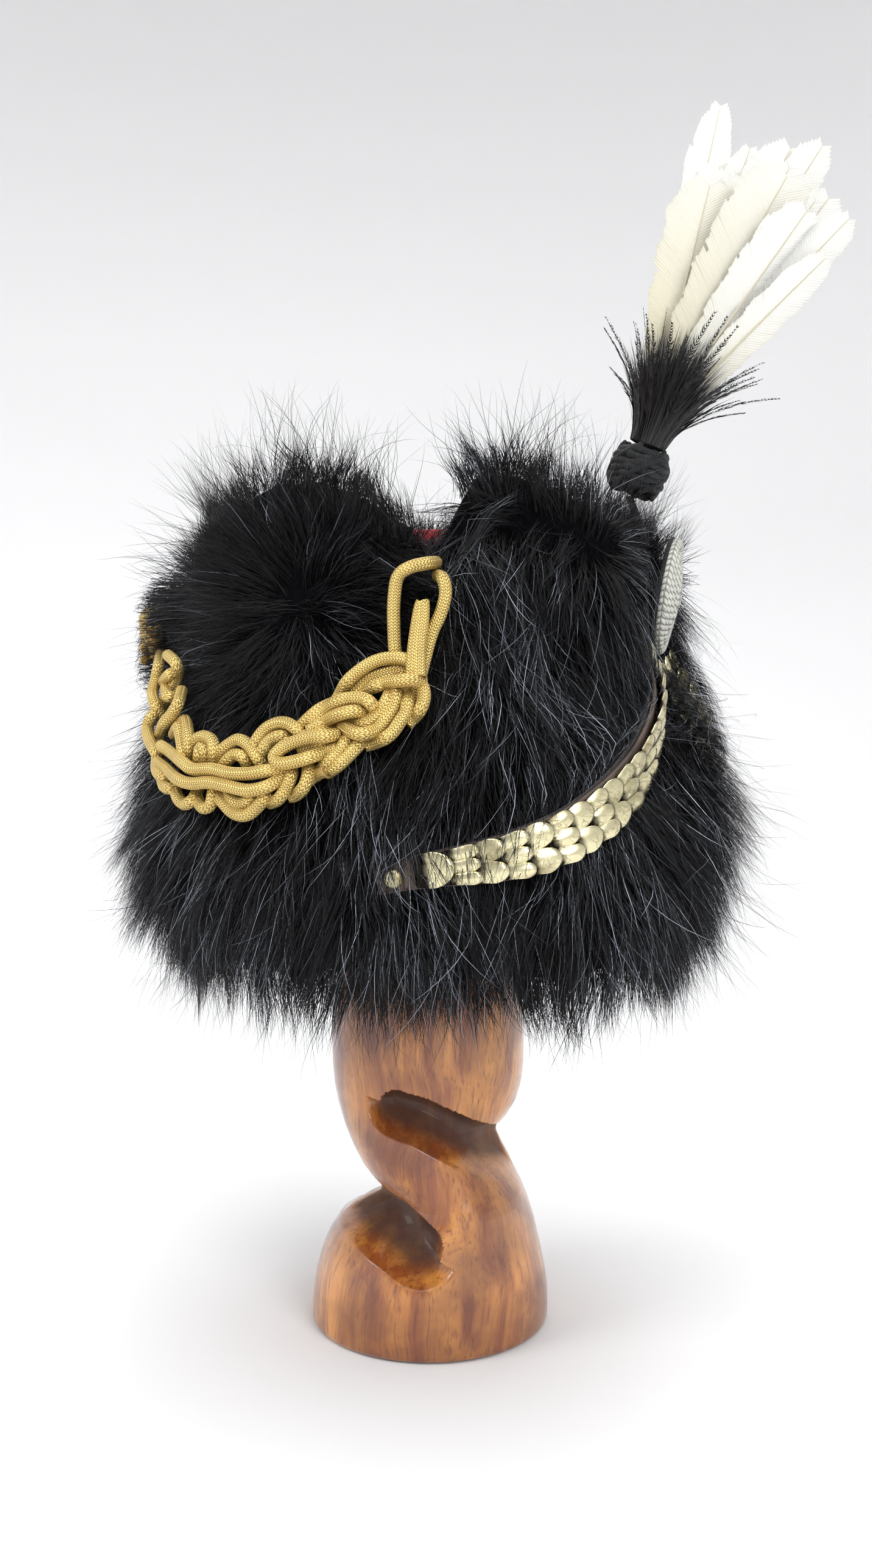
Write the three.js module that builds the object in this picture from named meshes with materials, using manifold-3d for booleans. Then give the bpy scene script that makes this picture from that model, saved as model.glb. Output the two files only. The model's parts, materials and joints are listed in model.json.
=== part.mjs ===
// A fur busby with a plaited cord, a scale chin strap and a plume, on a carved wooden stand.
// Millimetres, +Z up. The origin is the middle of the stand's foot, on the floor.
// +X is the front of the busby and -Y the wearer's right. A turn is an angle in degrees
// round the busby, measured from the front towards the wearer's right.
import * as THREE from 'three';
import Module from 'manifold-3d';
import { mergeVertices } from 'three/addons/utils/BufferGeometryUtils.js';

const wasm = await Module();
wasm.setup();

// Clearances
const gap = 0.3;
const layerGap = 0.8;

// Stand
const footRadius = 50.6;
const neckHeight = 139;
const neckRadius = 42.6;
const postTop = 315.5;
const postRadiusLow = 40.6;
const postRadiusHigh = 34;
const postTaperTop = 200;
const standTurn = 25;
const hollowDepth = 24;
const hollowPlace = 38;

// Cap shell: an oval tube, narrower in width than in length by one ratio
const shellRatio = 0.832;
const shellFloor = 165;
const shellTop = 319;
const shellLengthLow = 103;
const shellLengthHigh = 89;
const shellWall = 3;
const crownEdge = 1.5;

// Red cloth over the crown
const clothThickness = 1.5;
const clothHem = 306;
const clothRise = 3;

// Fur coat
const furFloor = 152;
const furRim = 337;
const furMouth = 82;
const furMouthFlare = 6;
const furUnderlay = 24;
const roomReach = 60;
const rimWaveFloor = 300;
const notchTurn = 64;

// Boss
const bossCentre = new THREE.Vector3(103.8, 0, 301);
const bossHeight = 46;
const bossWidth = 37;
const bossThickness = 5;
const bossTilt = 10;
const bossTurn = 6;
const bossGroove = 1.2;
const bossRoomDepth = 34;
const bossRoomFlare = 14;

// Chin strap
const liningThickness = 1;
const leatherThickness = 1.5;
const scaleThickness = 0.8;
const scaleLength = 13.6;
const scaleCount = 18;
const firstScale = 13;
const scalePitch = 8.4;
const scaleTilt = 10.8;
const scaleRootShare = 0.8;
const scaleOverhang = 1.6;
const strapSteps = 70;
const strapRoomDepth = 34;
const strapRoomFloorMargin = 3;
const strapRoomMouthMargin = 26;
const strapRoomSteps = 35;
const strapTopRoomSize = [16, 36, 33];
const strapTopRoomCentre = [98.3, 0, 286];
const studShank = 1.4;
const studShankFoot = -13;
const studHead = 3.6;
const studHeadRise = 2.4;

// Plaited cord
const cordDiameter = 4.7;
const plaitTurns = 3.33;
const plaitLift = 3.2;
const plaitSway = 3;
const plaitSteps = 18;
const bedMargin = 5;
const bedDepth = 24;
const strandHalfWidth = cordDiameter;
const strandHalfHeight = cordDiameter / 2;
const hangerPocketWidth = 25;
const hangerPocketDepth = 30;

// Plume
const oliveCentre = new THREE.Vector3(92, 0, 352);
const oliveRadius = 12.2;
const oliveHeight = 20;
const oliveLean = 20;
const plumeLean = 24;
const stemRadius = 1.5;
const quillRise = 4;
const quillLength = 22;
const quillRadiusLow = 2.6;
const quillRadiusHigh = 3.4;
const featherHalfDepth = 0.9;
const hackleWall = 2.4;
const hackleFloor = 3;
const hackleFoot = 1;
const hackleNeck = 7.5;
const hackleWaist = 12;
const hackleWaistRadius = 9;
const hackleMouth = 17;
const hackleDepth = 40;
const hackleRootRise = 8;
const hackleStripHalfWidth = 3.2;
const hackleStripHalfDepth = 1.4;

// How many sides and steps the round and long shapes are drawn with
const columnSides = 20;
const postSides = 16;
const bowlSides = 9;
const bowlRows = 5;
const ovalSides = 24;
const bossSides = 16;
const roomSides = 14;
const lobeSides = 3;
const cordSides = 5;
const stemSides = 6;
const stemSteps = 4;
const studSides = 8;
const oliveSides = 12;
const hackleSides = 14;
const roomSteps = 12;
const fineSteps = 800;
const studStep = 12;

// Half length and half width of the dense fur at each height
const furSections = [
  { height: 152, halfLength: 121, halfWidth: 105 },
  { height: 160, halfLength: 128, halfWidth: 112 },
  { height: 180, halfLength: 134, halfWidth: 118 },
  { height: 211, halfLength: 133, halfWidth: 117 },
  { height: 243, halfLength: 125, halfWidth: 109 },
  { height: 274, halfLength: 115, halfWidth: 99 },
  { height: 305, halfLength: 115, halfWidth: 99 },
  { height: 326, halfLength: 113, halfWidth: 97 },
  { height: 337, halfLength: 104, halfWidth: 88 },
];

// Depth of the hollow down the front, where boss and strap press the fur in
const frontHollow = [
  { height: 150, depth: 0 },
  { height: 244, depth: 0 },
  { height: 258, depth: 12 },
  { height: 272, depth: 16 },
  { height: 310, depth: 15 },
  { height: 337, depth: 8 },
];
const frontHollowTurn = 27;

// The stand's outline, seen square on: left and right edge at each height
const standOutline = [
  { height: 0, left: -50.6, right: 50.6 },
  { height: 14, left: -49.6, right: 50.4 },
  { height: 30, left: -45.6, right: 47.4 },
  { height: 42, left: -39, right: 44.6 },
  { height: 49, left: -31, right: 42.2 },
  { height: 52, left: -20, right: 41.2 },
];
const standUpperOutline = [
  { height: 54.5, left: -18, right: 40.2 },
  { height: 61, left: -24.5, right: 37 },
  { height: 68, left: -29.5, right: 33.8 },
  { height: 79, left: -35, right: 28.3 },
];
const standHeadOutline = [
  { height: 84, left: -37, right: 29.5 },
  { height: 89, left: -38.5, right: 34.5 },
  { height: 97, left: -40.5, right: 38.2 },
  { height: 108, left: -41.8, right: 40.3 },
  { height: 124, left: -42.2, right: 40.6 },
  { height: 139, left: -42, right: 40 },
];

// The column that the stand is cut from
const standColumn = [
  { height: 0, radius: footRadius - 1.2 },
  { height: 3, radius: footRadius },
  { height: 20, radius: 49.6 },
  { height: 45, radius: 46.5 },
  { height: 70, radius: 42.5 },
  { height: 100, radius: 41.5 },
  { height: 120, radius: neckRadius },
  { height: neckHeight, radius: neckRadius },
];

// Hollows carved in the stand's two faces: centre along the face, depth place and height
const standHollows = [
  { name: 'below the neck', across: -9, up: 45, reach: 24, rise: 11, turn: -28 },
  { name: 'under the head', across: 10, up: 88.5, reach: 27, rise: 10.5, turn: -20 },
];

// Middle line of the chin strap from the wearer's right ear to the middle, behind the boss,
// with the way that its face looks
const strapPath = [
  { x: 34.5, y: -113, z: 194, facing: 77 },
  { x: 49, y: -110, z: 198, facing: 70 },
  { x: 62, y: -104.5, z: 200.3, facing: 64 },
  { x: 72.8, y: -99, z: 202.5, facing: 58 },
  { x: 81.8, y: -92, z: 205.5, facing: 51 },
  { x: 89.2, y: -83, z: 210, facing: 42 },
  { x: 95.2, y: -72.5, z: 216.2, facing: 31 },
  { x: 99.6, y: -61.5, z: 223.8, facing: 18.5 },
  { x: 102.6, y: -51, z: 233, facing: 6.5 },
  { x: 104, y: -41, z: 243, facing: -4 },
  { x: 103.6, y: -31, z: 253, facing: -10 },
  { x: 100.6, y: -21.5, z: 262, facing: -9.5 },
  { x: 97.3, y: -15.2, z: 269.5, facing: -5 },
  { x: 94.3, y: -11.2, z: 277, facing: 0 },
  { x: 92.8, y: -9.4, z: 285, facing: 0 },
  { x: 92.8, y: -6.6, z: 290, facing: 0 },
  { x: 92.8, y: 0, z: 292.5, facing: 0 },
];
const strapWidths = [
  { along: 0, width: 8 },
  { along: 12, width: 10.5 },
  { along: 50, width: 16.5 },
  { along: 110, width: 17 },
  { along: 150, width: 16 },
  { along: 190, width: 14 },
];

// Middle line of the plaited cord, as turn and height, with its half width
const plaitPath = [
  { turn: 67.5, height: 268, half: 11 },
  { turn: 73, height: 260, half: 13 },
  { turn: 78, height: 251, half: 13.5 },
  { turn: 84, height: 241, half: 13.5 },
  { turn: 92, height: 230, half: 12.5 },
  { turn: 100, height: 224, half: 13.5 },
  { turn: 108, height: 227, half: 13 },
  { turn: 117, height: 241, half: 12 },
  { turn: 127, height: 260, half: 11 },
  { turn: 139, height: 279, half: 11 },
  { turn: 152, height: 292, half: 11 },
  { turn: 165, height: 298, half: 11 },
  { turn: 177, height: 299, half: 10 },
];

// Cords that hang the plait from the rim, as turn, height and lift off the fur
const hangers = [
  {
    name: 'rear cord',
    route: [
      { turn: 68.5, height: 316, lift: -3 },
      { turn: 69.5, height: 312, lift: 1.5 },
      { turn: 71.6, height: 308, lift: 3 },
      { turn: 73.6, height: 301, lift: 3 },
      { turn: 74, height: 291, lift: 3 },
      { turn: 74, height: 282, lift: 3.5 },
      { turn: 73.6, height: 272, lift: 4.5 },
      { turn: 73, height: 264, lift: 4 },
    ],
  },
  {
    name: 'front cord',
    route: [
      { turn: 66.5, height: 306, lift: -4 },
      { turn: 65.6, height: 300, lift: 1.5 },
      { turn: 65.1, height: 293, lift: 3 },
      { turn: 65.9, height: 286, lift: 3 },
      { turn: 67.4, height: 279, lift: 3 },
      { turn: 68.2, height: 270, lift: 4.5 },
      { turn: 68.6, height: 262, lift: 4 },
    ],
  },
  {
    name: 'short loop',
    route: [
      { turn: 69.4, height: 291, lift: 3.5 },
      { turn: 69.8, height: 284, lift: 4.5 },
      { turn: 69.4, height: 276, lift: 5.5 },
      { turn: 69.2, height: 266, lift: 5 },
    ],
  },
];

// The pocket pressed in the fur behind the hanging cords
const hangerPocket = [
  { turn: 69.4, height: 258, lift: -0.3 },
  { turn: 69.6, height: 280, lift: -0.3 },
  { turn: 69.6, height: 300, lift: -0.3 },
  { turn: 69, height: 308, lift: -8 },
  { turn: 68.4, height: 320, lift: -9 },
];

// Tiers of fur locks from the rim down: where each is rooted and where its tips end
const furTiers = [
  { name: 'rim', rootHeight: 328, rootLift: -24, tipHeight: 353, tipLift: -9 },
  { name: 'outer rim', rootHeight: 331, rootLift: -6, tipHeight: 343, tipLift: 9 },
  { name: 'shoulder', rootHeight: 318, rootLift: -4, tipHeight: 307, tipLift: 13 },
  { name: 'upper side', rootHeight: 300, rootLift: -4, tipHeight: 270, tipLift: 10 },
  { name: 'waist', rootHeight: 277, rootLift: -4, tipHeight: 245, tipLift: 10 },
  { name: 'flank', rootHeight: 252, rootLift: -4, tipHeight: 219, tipLift: 9 },
  { name: 'lower flank', rootHeight: 227, rootLift: -4, tipHeight: 194, tipLift: 9 },
  { name: 'skirt', rootHeight: 202, rootLift: -4, tipHeight: 168, tipLift: 8 },
  { name: 'hem', rootHeight: 176, rootLift: -5, tipHeight: 139, tipLift: 4 },
];
const locksPerTier = 20;
const shortLock = 0.5;
const rearLobeFloor = 262;
const rearLobeTurn = 84;

// How far the rim stands above or below its mean height, round each side from the front
const rimWave = [
  { turn: 0, rise: -7 },
  { turn: 30, rise: 1 },
  { turn: 50, rise: 6 },
  { turn: 62, rise: -5 },
  { turn: 72, rise: -5 },
  { turn: 95, rise: 7 },
  { turn: 130, rise: -2 },
  { turn: 180, rise: 3 },
];

// White feathers: lean from the upright, sideways splay, length, width and turn about the quill
const feathers = [
  { name: 'tall rear', lean: 11, splay: 4, length: 137, width: 15, roll: 15 },
  { name: 'front rounded', lean: 14.5, splay: -6, length: 101, width: 18, roll: -10 },
  { name: 'front right', lean: 30, splay: -5, length: 112, width: 20, roll: 10 },
  { name: 'middle', lean: 20, splay: 2, length: 121, width: 14, roll: 30 },
  { name: 'right inner', lean: 25.5, splay: 1, length: 125, width: 20, roll: -20 },
  { name: 'right outer', lean: 32, splay: 4, length: 131, width: 22, roll: 15 },
  { name: 'far right', lean: 41, splay: -2, length: 110, width: 16, roll: -15 },
  { name: 'low right', lean: 46, splay: 3, length: 92, width: 13, roll: 25 },
  { name: 'left', lean: 8, splay: -2, length: 118, width: 14, roll: -25 },
  { name: 'rear middle', lean: 22, splay: 8, length: 108, width: 19, roll: 5 },
  { name: 'rear right', lean: 36, splay: 9, length: 104, width: 18, roll: -8 },
];

// Rings of hackle strips round the plume: how far they lean out and how long they are
const hackleRings = [
  { count: 9, lean: 42, length: 56, start: 0 },
  { count: 8, lean: 24, length: 66, start: 22 },
];

const up = new THREE.Vector3(0, 0, 1);
const radians = THREE.MathUtils.degToRad;

// A material from its colour, roughness and metalness.
function finish(color, roughness, metalness = 0) {
  return new THREE.MeshStandardMaterial({ color, roughness, metalness });
}

const finishes = {
  wood: finish('#8a4b22', 0.4),
  shell: finish('#1b1b1d', 0.8),
  redCloth: finish('#a5252c', 0.9),
  fur: finish('#0c0d10', 0.7),
  gilt: finish('#d2a33c', 0.42, 0.6),
  silverCord: finish('#c9c9c2', 0.6, 0.2),
  lining: finish('#2c2a2b', 0.9),
  leather: finish('#9b6a4c', 0.7),
  brass: finish('#cdb675', 0.3, 1),
  blackCord: finish('#101317', 0.8),
  hackle: finish('#0a0a0c', 0.75),
  feather: finish('#f3f1e6', 0.8),
};

// The value of a column at a place between the rows of a table.
function between(rows, key, at, column) {
  let row = 1;
  while (row < rows.length - 1 && rows[row][key] < at) row += 1;
  const low = rows[row - 1];
  const high = rows[row];
  const share = THREE.MathUtils.clamp((at - low[key]) / (high[key] - low[key]), 0, 1);
  return THREE.MathUtils.lerp(low[column], high[column], share);
}

// A repeatable number between -1 and 1 for each seed.
function scatter(seed) {
  const wave = Math.sin(seed * 12.9898) * 43758.5453;
  return 2 * (wave - Math.floor(wave)) - 1;
}

// A geometry as a solid that can be joined and cut, with its faces pointing out.
function solid(geometry) {
  const bare = geometry.clone();
  bare.deleteAttribute('normal');
  bare.deleteAttribute('uv');
  const merged = mergeVertices(bare, 1e-4);
  const corners = Uint32Array.from(merged.index.array);
  const vertProperties = merged.attributes.position.array;
  let volume = 0;
  const [a, b, c] = [new THREE.Vector3(), new THREE.Vector3(), new THREE.Vector3()];
  for (let face = 0; face < corners.length; face += 3) {
    a.fromBufferAttribute(merged.attributes.position, corners[face]);
    b.fromBufferAttribute(merged.attributes.position, corners[face + 1]);
    c.fromBufferAttribute(merged.attributes.position, corners[face + 2]);
    volume += a.dot(b.cross(c));
  }
  if (volume < 0) {
    for (let face = 0; face < corners.length; face += 3) {
      [corners[face + 1], corners[face + 2]] = [corners[face + 2], corners[face + 1]];
    }
  }
  return new wasm.Manifold(new wasm.Mesh({ numProp: 3, vertProperties, triVerts: corners }));
}

// The largest connected piece of a solid.
function mainPiece(whole) {
  return whole.decompose().reduce((best, piece) => (piece.volume() > best.volume() ? piece : best));
}

// A solid joined from many.
function joined(solids) {
  return solids.reduce((whole, next) => whole.add(next));
}

// A solid as a three.js geometry.
function geometryOf(made) {
  const { numProp, vertProperties, triVerts } = made.getMesh();
  const geometry = new THREE.BufferGeometry();
  const points = [];
  for (let start = 0; start < vertProperties.length; start += numProp) {
    points.push(vertProperties[start], vertProperties[start + 1], vertProperties[start + 2]);
  }
  geometry.setAttribute('position', new THREE.Float32BufferAttribute(points, 3));
  geometry.setIndex(Array.from(triVerts));
  geometry.computeVertexNormals();
  return geometry;
}

// A closed skin through rings of points, each ring with the same number of corners.
function loft(rings) {
  const corners = rings[0].length;
  const index = [];
  for (let ring = 0; ring + 1 < rings.length; ring += 1) {
    for (let side = 0; side < corners; side += 1) {
      const here = ring * corners + side;
      const next = ring * corners + ((side + 1) % corners);
      index.push(here, next, next + corners, here, next + corners, here + corners);
    }
  }
  const last = (rings.length - 1) * corners;
  for (let side = 1; side + 1 < corners; side += 1) {
    index.push(0, side + 1, side);
    index.push(last, last + side, last + side + 1);
  }
  const geometry = new THREE.BufferGeometry();
  const points = rings.flat().flatMap((point) => point.toArray());
  geometry.setAttribute('position', new THREE.Float32BufferAttribute(points, 3));
  geometry.setIndex(index);
  return geometry;
}

// A closed spike from a ring of points to a tip.
function pointed(ring, tip) {
  const corners = ring.length;
  const index = [];
  for (let side = 0; side < corners; side += 1) index.push(side, (side + 1) % corners, corners);
  for (let side = 1; side + 1 < corners; side += 1) index.push(0, side + 1, side);
  const geometry = new THREE.BufferGeometry();
  const points = [...ring, tip].flatMap((point) => point.toArray());
  geometry.setAttribute('position', new THREE.Float32BufferAttribute(points, 3));
  geometry.setIndex(index);
  return geometry;
}

// A named mesh from a solid or a geometry.
function piece(name, made, material) {
  const geometry = made.isBufferGeometry ? made : geometryOf(made);
  const mesh = new THREE.Mesh(geometry, material);
  mesh.name = name;
  return mesh;
}

// A solid of revolution about the vertical, squeezed from side to side by a ratio.
function ovalLathe(profile, segments, ratio) {
  const geometry = new THREE.LatheGeometry(
    profile.map(([radius, height]) => new THREE.Vector2(radius, height)),
    segments,
  );
  geometry.rotateX(Math.PI / 2);
  geometry.scale(1, ratio, 1);
  return solid(geometry);
}

// Half length of the cap shell's outside at a height.
function shellLength(height) {
  const share = (height - shellFloor) / (shellTop - shellFloor);
  return THREE.MathUtils.lerp(shellLengthLow, shellLengthHigh, share);
}

// A turn measured from the front to either side, between 0 and 180.
function turnFromFront(turn) {
  return Math.abs((((turn % 360) + 540) % 360) - 180);
}

// A point on the dense fur, at a turn and a height, lifted off it.
function furPoint(turn, height, lift = 0) {
  const angle = radians(turn);
  const halfLength = between(furSections, 'height', height, 'halfLength') + lift;
  const halfWidth = between(furSections, 'height', height, 'halfWidth') + lift;
  const fromFront = turnFromFront(turn);
  const share = Math.max(0, 1 - fromFront / frontHollowTurn);
  const hollow = between(frontHollow, 'height', height, 'depth') * share;
  const reach = 1 - hollow / halfLength;
  const nearRim = THREE.MathUtils.clamp((height - rimWaveFloor) / (furRim - rimWaveFloor), 0, 1);
  return new THREE.Vector3(
    halfLength * reach * Math.cos(angle),
    -halfWidth * reach * Math.sin(angle),
    height + nearRim * between(rimWave, 'turn', fromFront, 'rise'),
  );
}

// The way straight out of the fur at a turn and a height.
function furOutward(turn, height) {
  const step = 2;
  const along = furPoint(turn - step, height).sub(furPoint(turn + step, height));
  const rise = furPoint(turn, height + step).sub(furPoint(turn, height - step));
  return along.cross(rise).normalize();
}

// The stand: an outline cut from a turned column, hollowed in both faces, with a plain post.
function makeStand() {
  const outline = new THREE.Shape();
  const rows = [...standOutline, ...standUpperOutline, ...standHeadOutline];
  const edge = [
    ...rows.map((row) => new THREE.Vector2(row.right, row.height)),
    ...rows.toReversed().map((row) => new THREE.Vector2(row.left, row.height)),
  ];
  outline.setFromPoints(edge);
  const slab = new THREE.ExtrudeGeometry(outline, { depth: 4 * footRadius, bevelEnabled: false });
  slab.translate(0, 0, -2 * footRadius);
  slab.rotateX(Math.PI / 2);
  const columnEdge = standColumn.map((row) => [row.radius, row.height]);
  const column = ovalLathe([[0, 0], ...columnEdge, [0, neckHeight]], columnSides, 1);
  let carved = solid(slab).intersect(column);
  for (const hollow of standHollows) {
    for (const face of [-1, 1]) {
      const bowl = new THREE.SphereGeometry(1, bowlSides, bowlRows);
      bowl.scale(hollow.reach, hollowDepth, hollow.rise);
      bowl.rotateY(radians(-hollow.turn));
      bowl.translate(hollow.across, face * hollowPlace, hollow.up);
      carved = carved.subtract(solid(bowl));
    }
  }
  const post = ovalLathe(
    [
      [0, neckHeight - 2],
      [postRadiusLow, neckHeight - 2],
      [postRadiusHigh, postTaperTop],
      [postRadiusHigh, postTop],
      [0, postTop],
    ],
    postSides,
    1,
  );
  const stand = piece('stand', mainPiece(carved.add(post)), finishes.wood);
  stand.rotation.z = radians(standTurn);
  return stand;
}

// The cap shell: a tapered oval tube, closed by the crown.
function makeShell() {
  const made = ovalLathe(
    [
      [shellLengthLow - shellWall, shellFloor],
      [shellLengthLow, shellFloor],
      [shellLengthHigh, shellTop - crownEdge],
      [shellLengthHigh - crownEdge, shellTop],
      [0, shellTop],
      [0, shellTop - shellWall],
      [shellLengthHigh - shellWall, shellTop - shellWall],
      [shellLengthLow - shellWall, shellFloor],
    ],
    ovalSides,
    shellRatio,
  );
  return piece('cap_body', made, finishes.shell);
}

// The red cloth: a low dome over the crown with its edge turned down.
function makeTopCloth() {
  const inside = shellLength(clothHem) + gap / shellRatio;
  const insideTop = shellLengthHigh + gap / shellRatio;
  const roof = shellTop + gap;
  const made = ovalLathe(
    [
      [inside, clothHem],
      [inside + clothThickness, clothHem],
      [insideTop + clothThickness, roof],
      [insideTop * 0.6, roof + clothThickness + clothRise * 0.8],
      [0, roof + clothThickness + clothRise],
      [0, roof + clothRise],
      [insideTop * 0.6, roof + clothRise * 0.7],
      [insideTop, roof],
      [inside, clothHem],
    ],
    ovalSides,
    shellRatio,
  );
  return piece('top_cloth', made, finishes.redCloth);
}

// The room that shell and cloth take, with their clearance, open downwards.
function shellRoom() {
  const lowest = furFloor - roomReach;
  const cloth = shellLength(clothHem) + clothThickness + (2 * gap) / shellRatio;
  const clothTop = shellLengthHigh + clothThickness + (2 * gap) / shellRatio;
  return ovalLathe(
    [
      [0, lowest],
      [shellLengthLow + gap / shellRatio, lowest],
      [shellLengthLow + gap / shellRatio, shellFloor],
      [shellLength(clothHem - 2 * gap) + gap / shellRatio, clothHem - 2 * gap],
      [cloth, clothHem - 2 * gap],
      [clothTop, shellTop + clothThickness + 2 * gap],
      [furMouth, shellTop + clothThickness + clothRise + gap],
      [furMouth + furMouthFlare, furRim + roomReach],
      [0, furRim + roomReach],
    ],
    ovalSides,
    shellRatio,
  );
}

// The coat as one skin: tier under tier of tapered locks, each tier tucked under the one above.
function furSkin() {
  const rings = [];
  furTiers.forEach((tier, tierNumber) => {
    const roots = [];
    const tips = [];
    for (let number = 0; number < 2 * locksPerTier; number += 1) {
      const seed = tierNumber * 97 + number;
      const isTip = (number + tierNumber) % 2 === 0;
      const turn = (-180 * number) / locksPerTier;
      const sway = isTip ? 3 * scatter(seed + 0.2) : 0;
      const onLobe = turnFromFront(turn) > rearLobeTurn && tier.rootHeight > rearLobeFloor;
      const lobeHeight = Math.max(tier.tipHeight, tier.rootHeight - 16);
      const fullHeight = onLobe ? lobeHeight : tier.tipHeight;
      const fullLift = onLobe && tier.tipLift > 0 ? tier.tipLift + 4 : tier.tipLift;
      const share = isTip ? 1 + 0.16 * scatter(seed + 0.5) : shortLock;
      const tipHeight = THREE.MathUtils.lerp(tier.rootHeight, fullHeight, share);
      const tipLift = THREE.MathUtils.lerp(tier.rootLift, fullLift, share);
      roots.push(furPoint(turn, tier.rootHeight, tier.rootLift));
      tips.push(furPoint(turn + sway, tipHeight, tipLift));
    }
    rings.push(roots, tips);
  });
  const underlay = rings[0].map((point, number) =>
    furPoint((-180 * number) / locksPerTier, furFloor + furMouthFlare, -furUnderlay),
  );
  rings.push(underlay);
  return solid(loft(rings));
}

// Points and frames along a path: place, way ahead, way out and way across.
function framesAlong(points, outwards, steps) {
  const curve = new THREE.CatmullRomCurve3(points, false, 'centripetal');
  const facing = new THREE.CatmullRomCurve3(outwards, false, 'catmullrom');
  curve.arcLengthDivisions = 400;
  const frames = [];
  for (let step = 0; step <= steps; step += 1) {
    const share = step / steps;
    const t = curve.getUtoTmapping(share);
    const ahead = curve.getTangent(t);
    const out = facing.getPoint(t);
    out.addScaledVector(ahead, -out.dot(ahead)).normalize();
    const across = new THREE.Vector3().crossVectors(ahead, out).normalize();
    frames.push({ share, along: share * curve.getLength(), place: curve.getPoint(t), ahead, out, across });
  }
  return frames;
}

// A point given by its shift across and out of a frame.
function offset(frame, across, out) {
  return frame.place.clone().addScaledVector(frame.across, across).addScaledVector(frame.out, out);
}

// A strip along frames, between two heights over the path, as wide as width(along) says.
function strip(frames, low, high, width, lowWidth = width) {
  const rings = frames.map((frame) => {
    const halfHigh = width(frame.along) / 2;
    const halfLow = lowWidth(frame.along) / 2;
    return [
      offset(frame, -halfLow, low),
      offset(frame, halfLow, low),
      offset(frame, halfHigh, high),
      offset(frame, -halfHigh, high),
    ];
  });
  return solid(loft(rings));
}

const strapWidth = (along) => between(strapWidths, 'along', along, 'width');

// Frames along the strap from ear to ear, each with its way along from the nearer ear.
function strapFrames(steps) {
  const leftPath = strapPath
    .slice(0, -1)
    .toReversed()
    .map((row) => ({ ...row, y: -row.y, facing: -row.facing }));
  const path = [...strapPath, ...leftPath];
  const points = path.map((row) => new THREE.Vector3(row.x, row.y, row.z));
  const outwards = path.map((row) => {
    const facing = radians(row.facing);
    return new THREE.Vector3(Math.cos(facing), -Math.sin(facing), 0);
  });
  const frames = framesAlong(points, outwards, steps);
  const whole = frames.at(-1).along;
  return frames.map((frame) => ({ ...frame, along: Math.min(frame.along, whole - frame.along), whole }));
}

const leatherFloor = liningThickness + layerGap;
const scaleFloor = leatherFloor + leatherThickness + layerGap;

// The two layers of the strap.
function makeStrapLayers() {
  const frames = strapFrames(strapSteps);
  const lining = strip(frames, 0, liningThickness, strapWidth);
  const leather = strip(frames, leatherFloor, leatherFloor + leatherThickness, strapWidth);
  return { lining, leather };
}

// The outline of a scale: a narrow hidden root and two or three round lobes at its free end.
function scaleOutline(width, lobes) {
  const outline = new THREE.Shape();
  const half = width / 2;
  const lobe = half / lobes;
  const shoulder = scaleLength - lobe;
  outline.moveTo(-half * scaleRootShare, 0);
  outline.lineTo(-half, shoulder);
  for (let number = 0; number < lobes; number += 1) {
    const middle = -half + lobe * (2 * number + 1);
    for (let side = 1; side <= lobeSides; side += 1) {
      const angle = Math.PI * (1 - side / lobeSides);
      outline.lineTo(middle + lobe * Math.cos(angle), shoulder + lobe * Math.sin(angle));
    }
  }
  outline.lineTo(half * scaleRootShare, 0);
  return outline;
}

// The scales on the wearer's right, each lying over the next one up.
function makeScales() {
  const fine = strapFrames(fineSteps);
  const { whole } = fine[0];
  const scales = [];
  for (let number = 0; number < scaleCount; number += 1) {
    const along = firstScale + number * scalePitch;
    const frame = fine[Math.round(((along + scaleLength / 2) / whole) * fineSteps)];
    const root = frame.place.clone().addScaledVector(frame.ahead, -scaleLength / 2);
    const lobes = number === 0 ? 1 : 2 + (number % 2);
    const outline = scaleOutline(strapWidth(along) + scaleOverhang, lobes);
    const plate = new THREE.ExtrudeGeometry(outline, { depth: scaleThickness, bevelEnabled: false });
    plate.rotateX(radians(scaleTilt));
    plate.translate(0, 0, scaleFloor);
    const base = new THREE.Matrix4().makeBasis(frame.across, frame.ahead, frame.out);
    base.setPosition(root);
    plate.applyMatrix4(base);
    scales.push(solid(plate));
  }
  return scales;
}

// The room cut in the fur for one side of the strap, opening outwards.
function strapRoom() {
  const frames = strapFrames(strapSteps);
  const side = frames.slice(0, strapRoomSteps).filter((frame, step) => step % 2 === 0);
  return strip(
    side,
    -3 * gap,
    strapRoomDepth,
    (along) => strapWidth(along) + strapRoomMouthMargin,
    (along) => strapWidth(along) + strapRoomFloorMargin,
  );
}

// The room behind the boss, where the strap turns over from one side to the other.
function strapTopRoom() {
  const room = new THREE.BoxGeometry(...strapTopRoomSize);
  room.translate(...strapTopRoomCentre);
  return solid(room);
}

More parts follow.
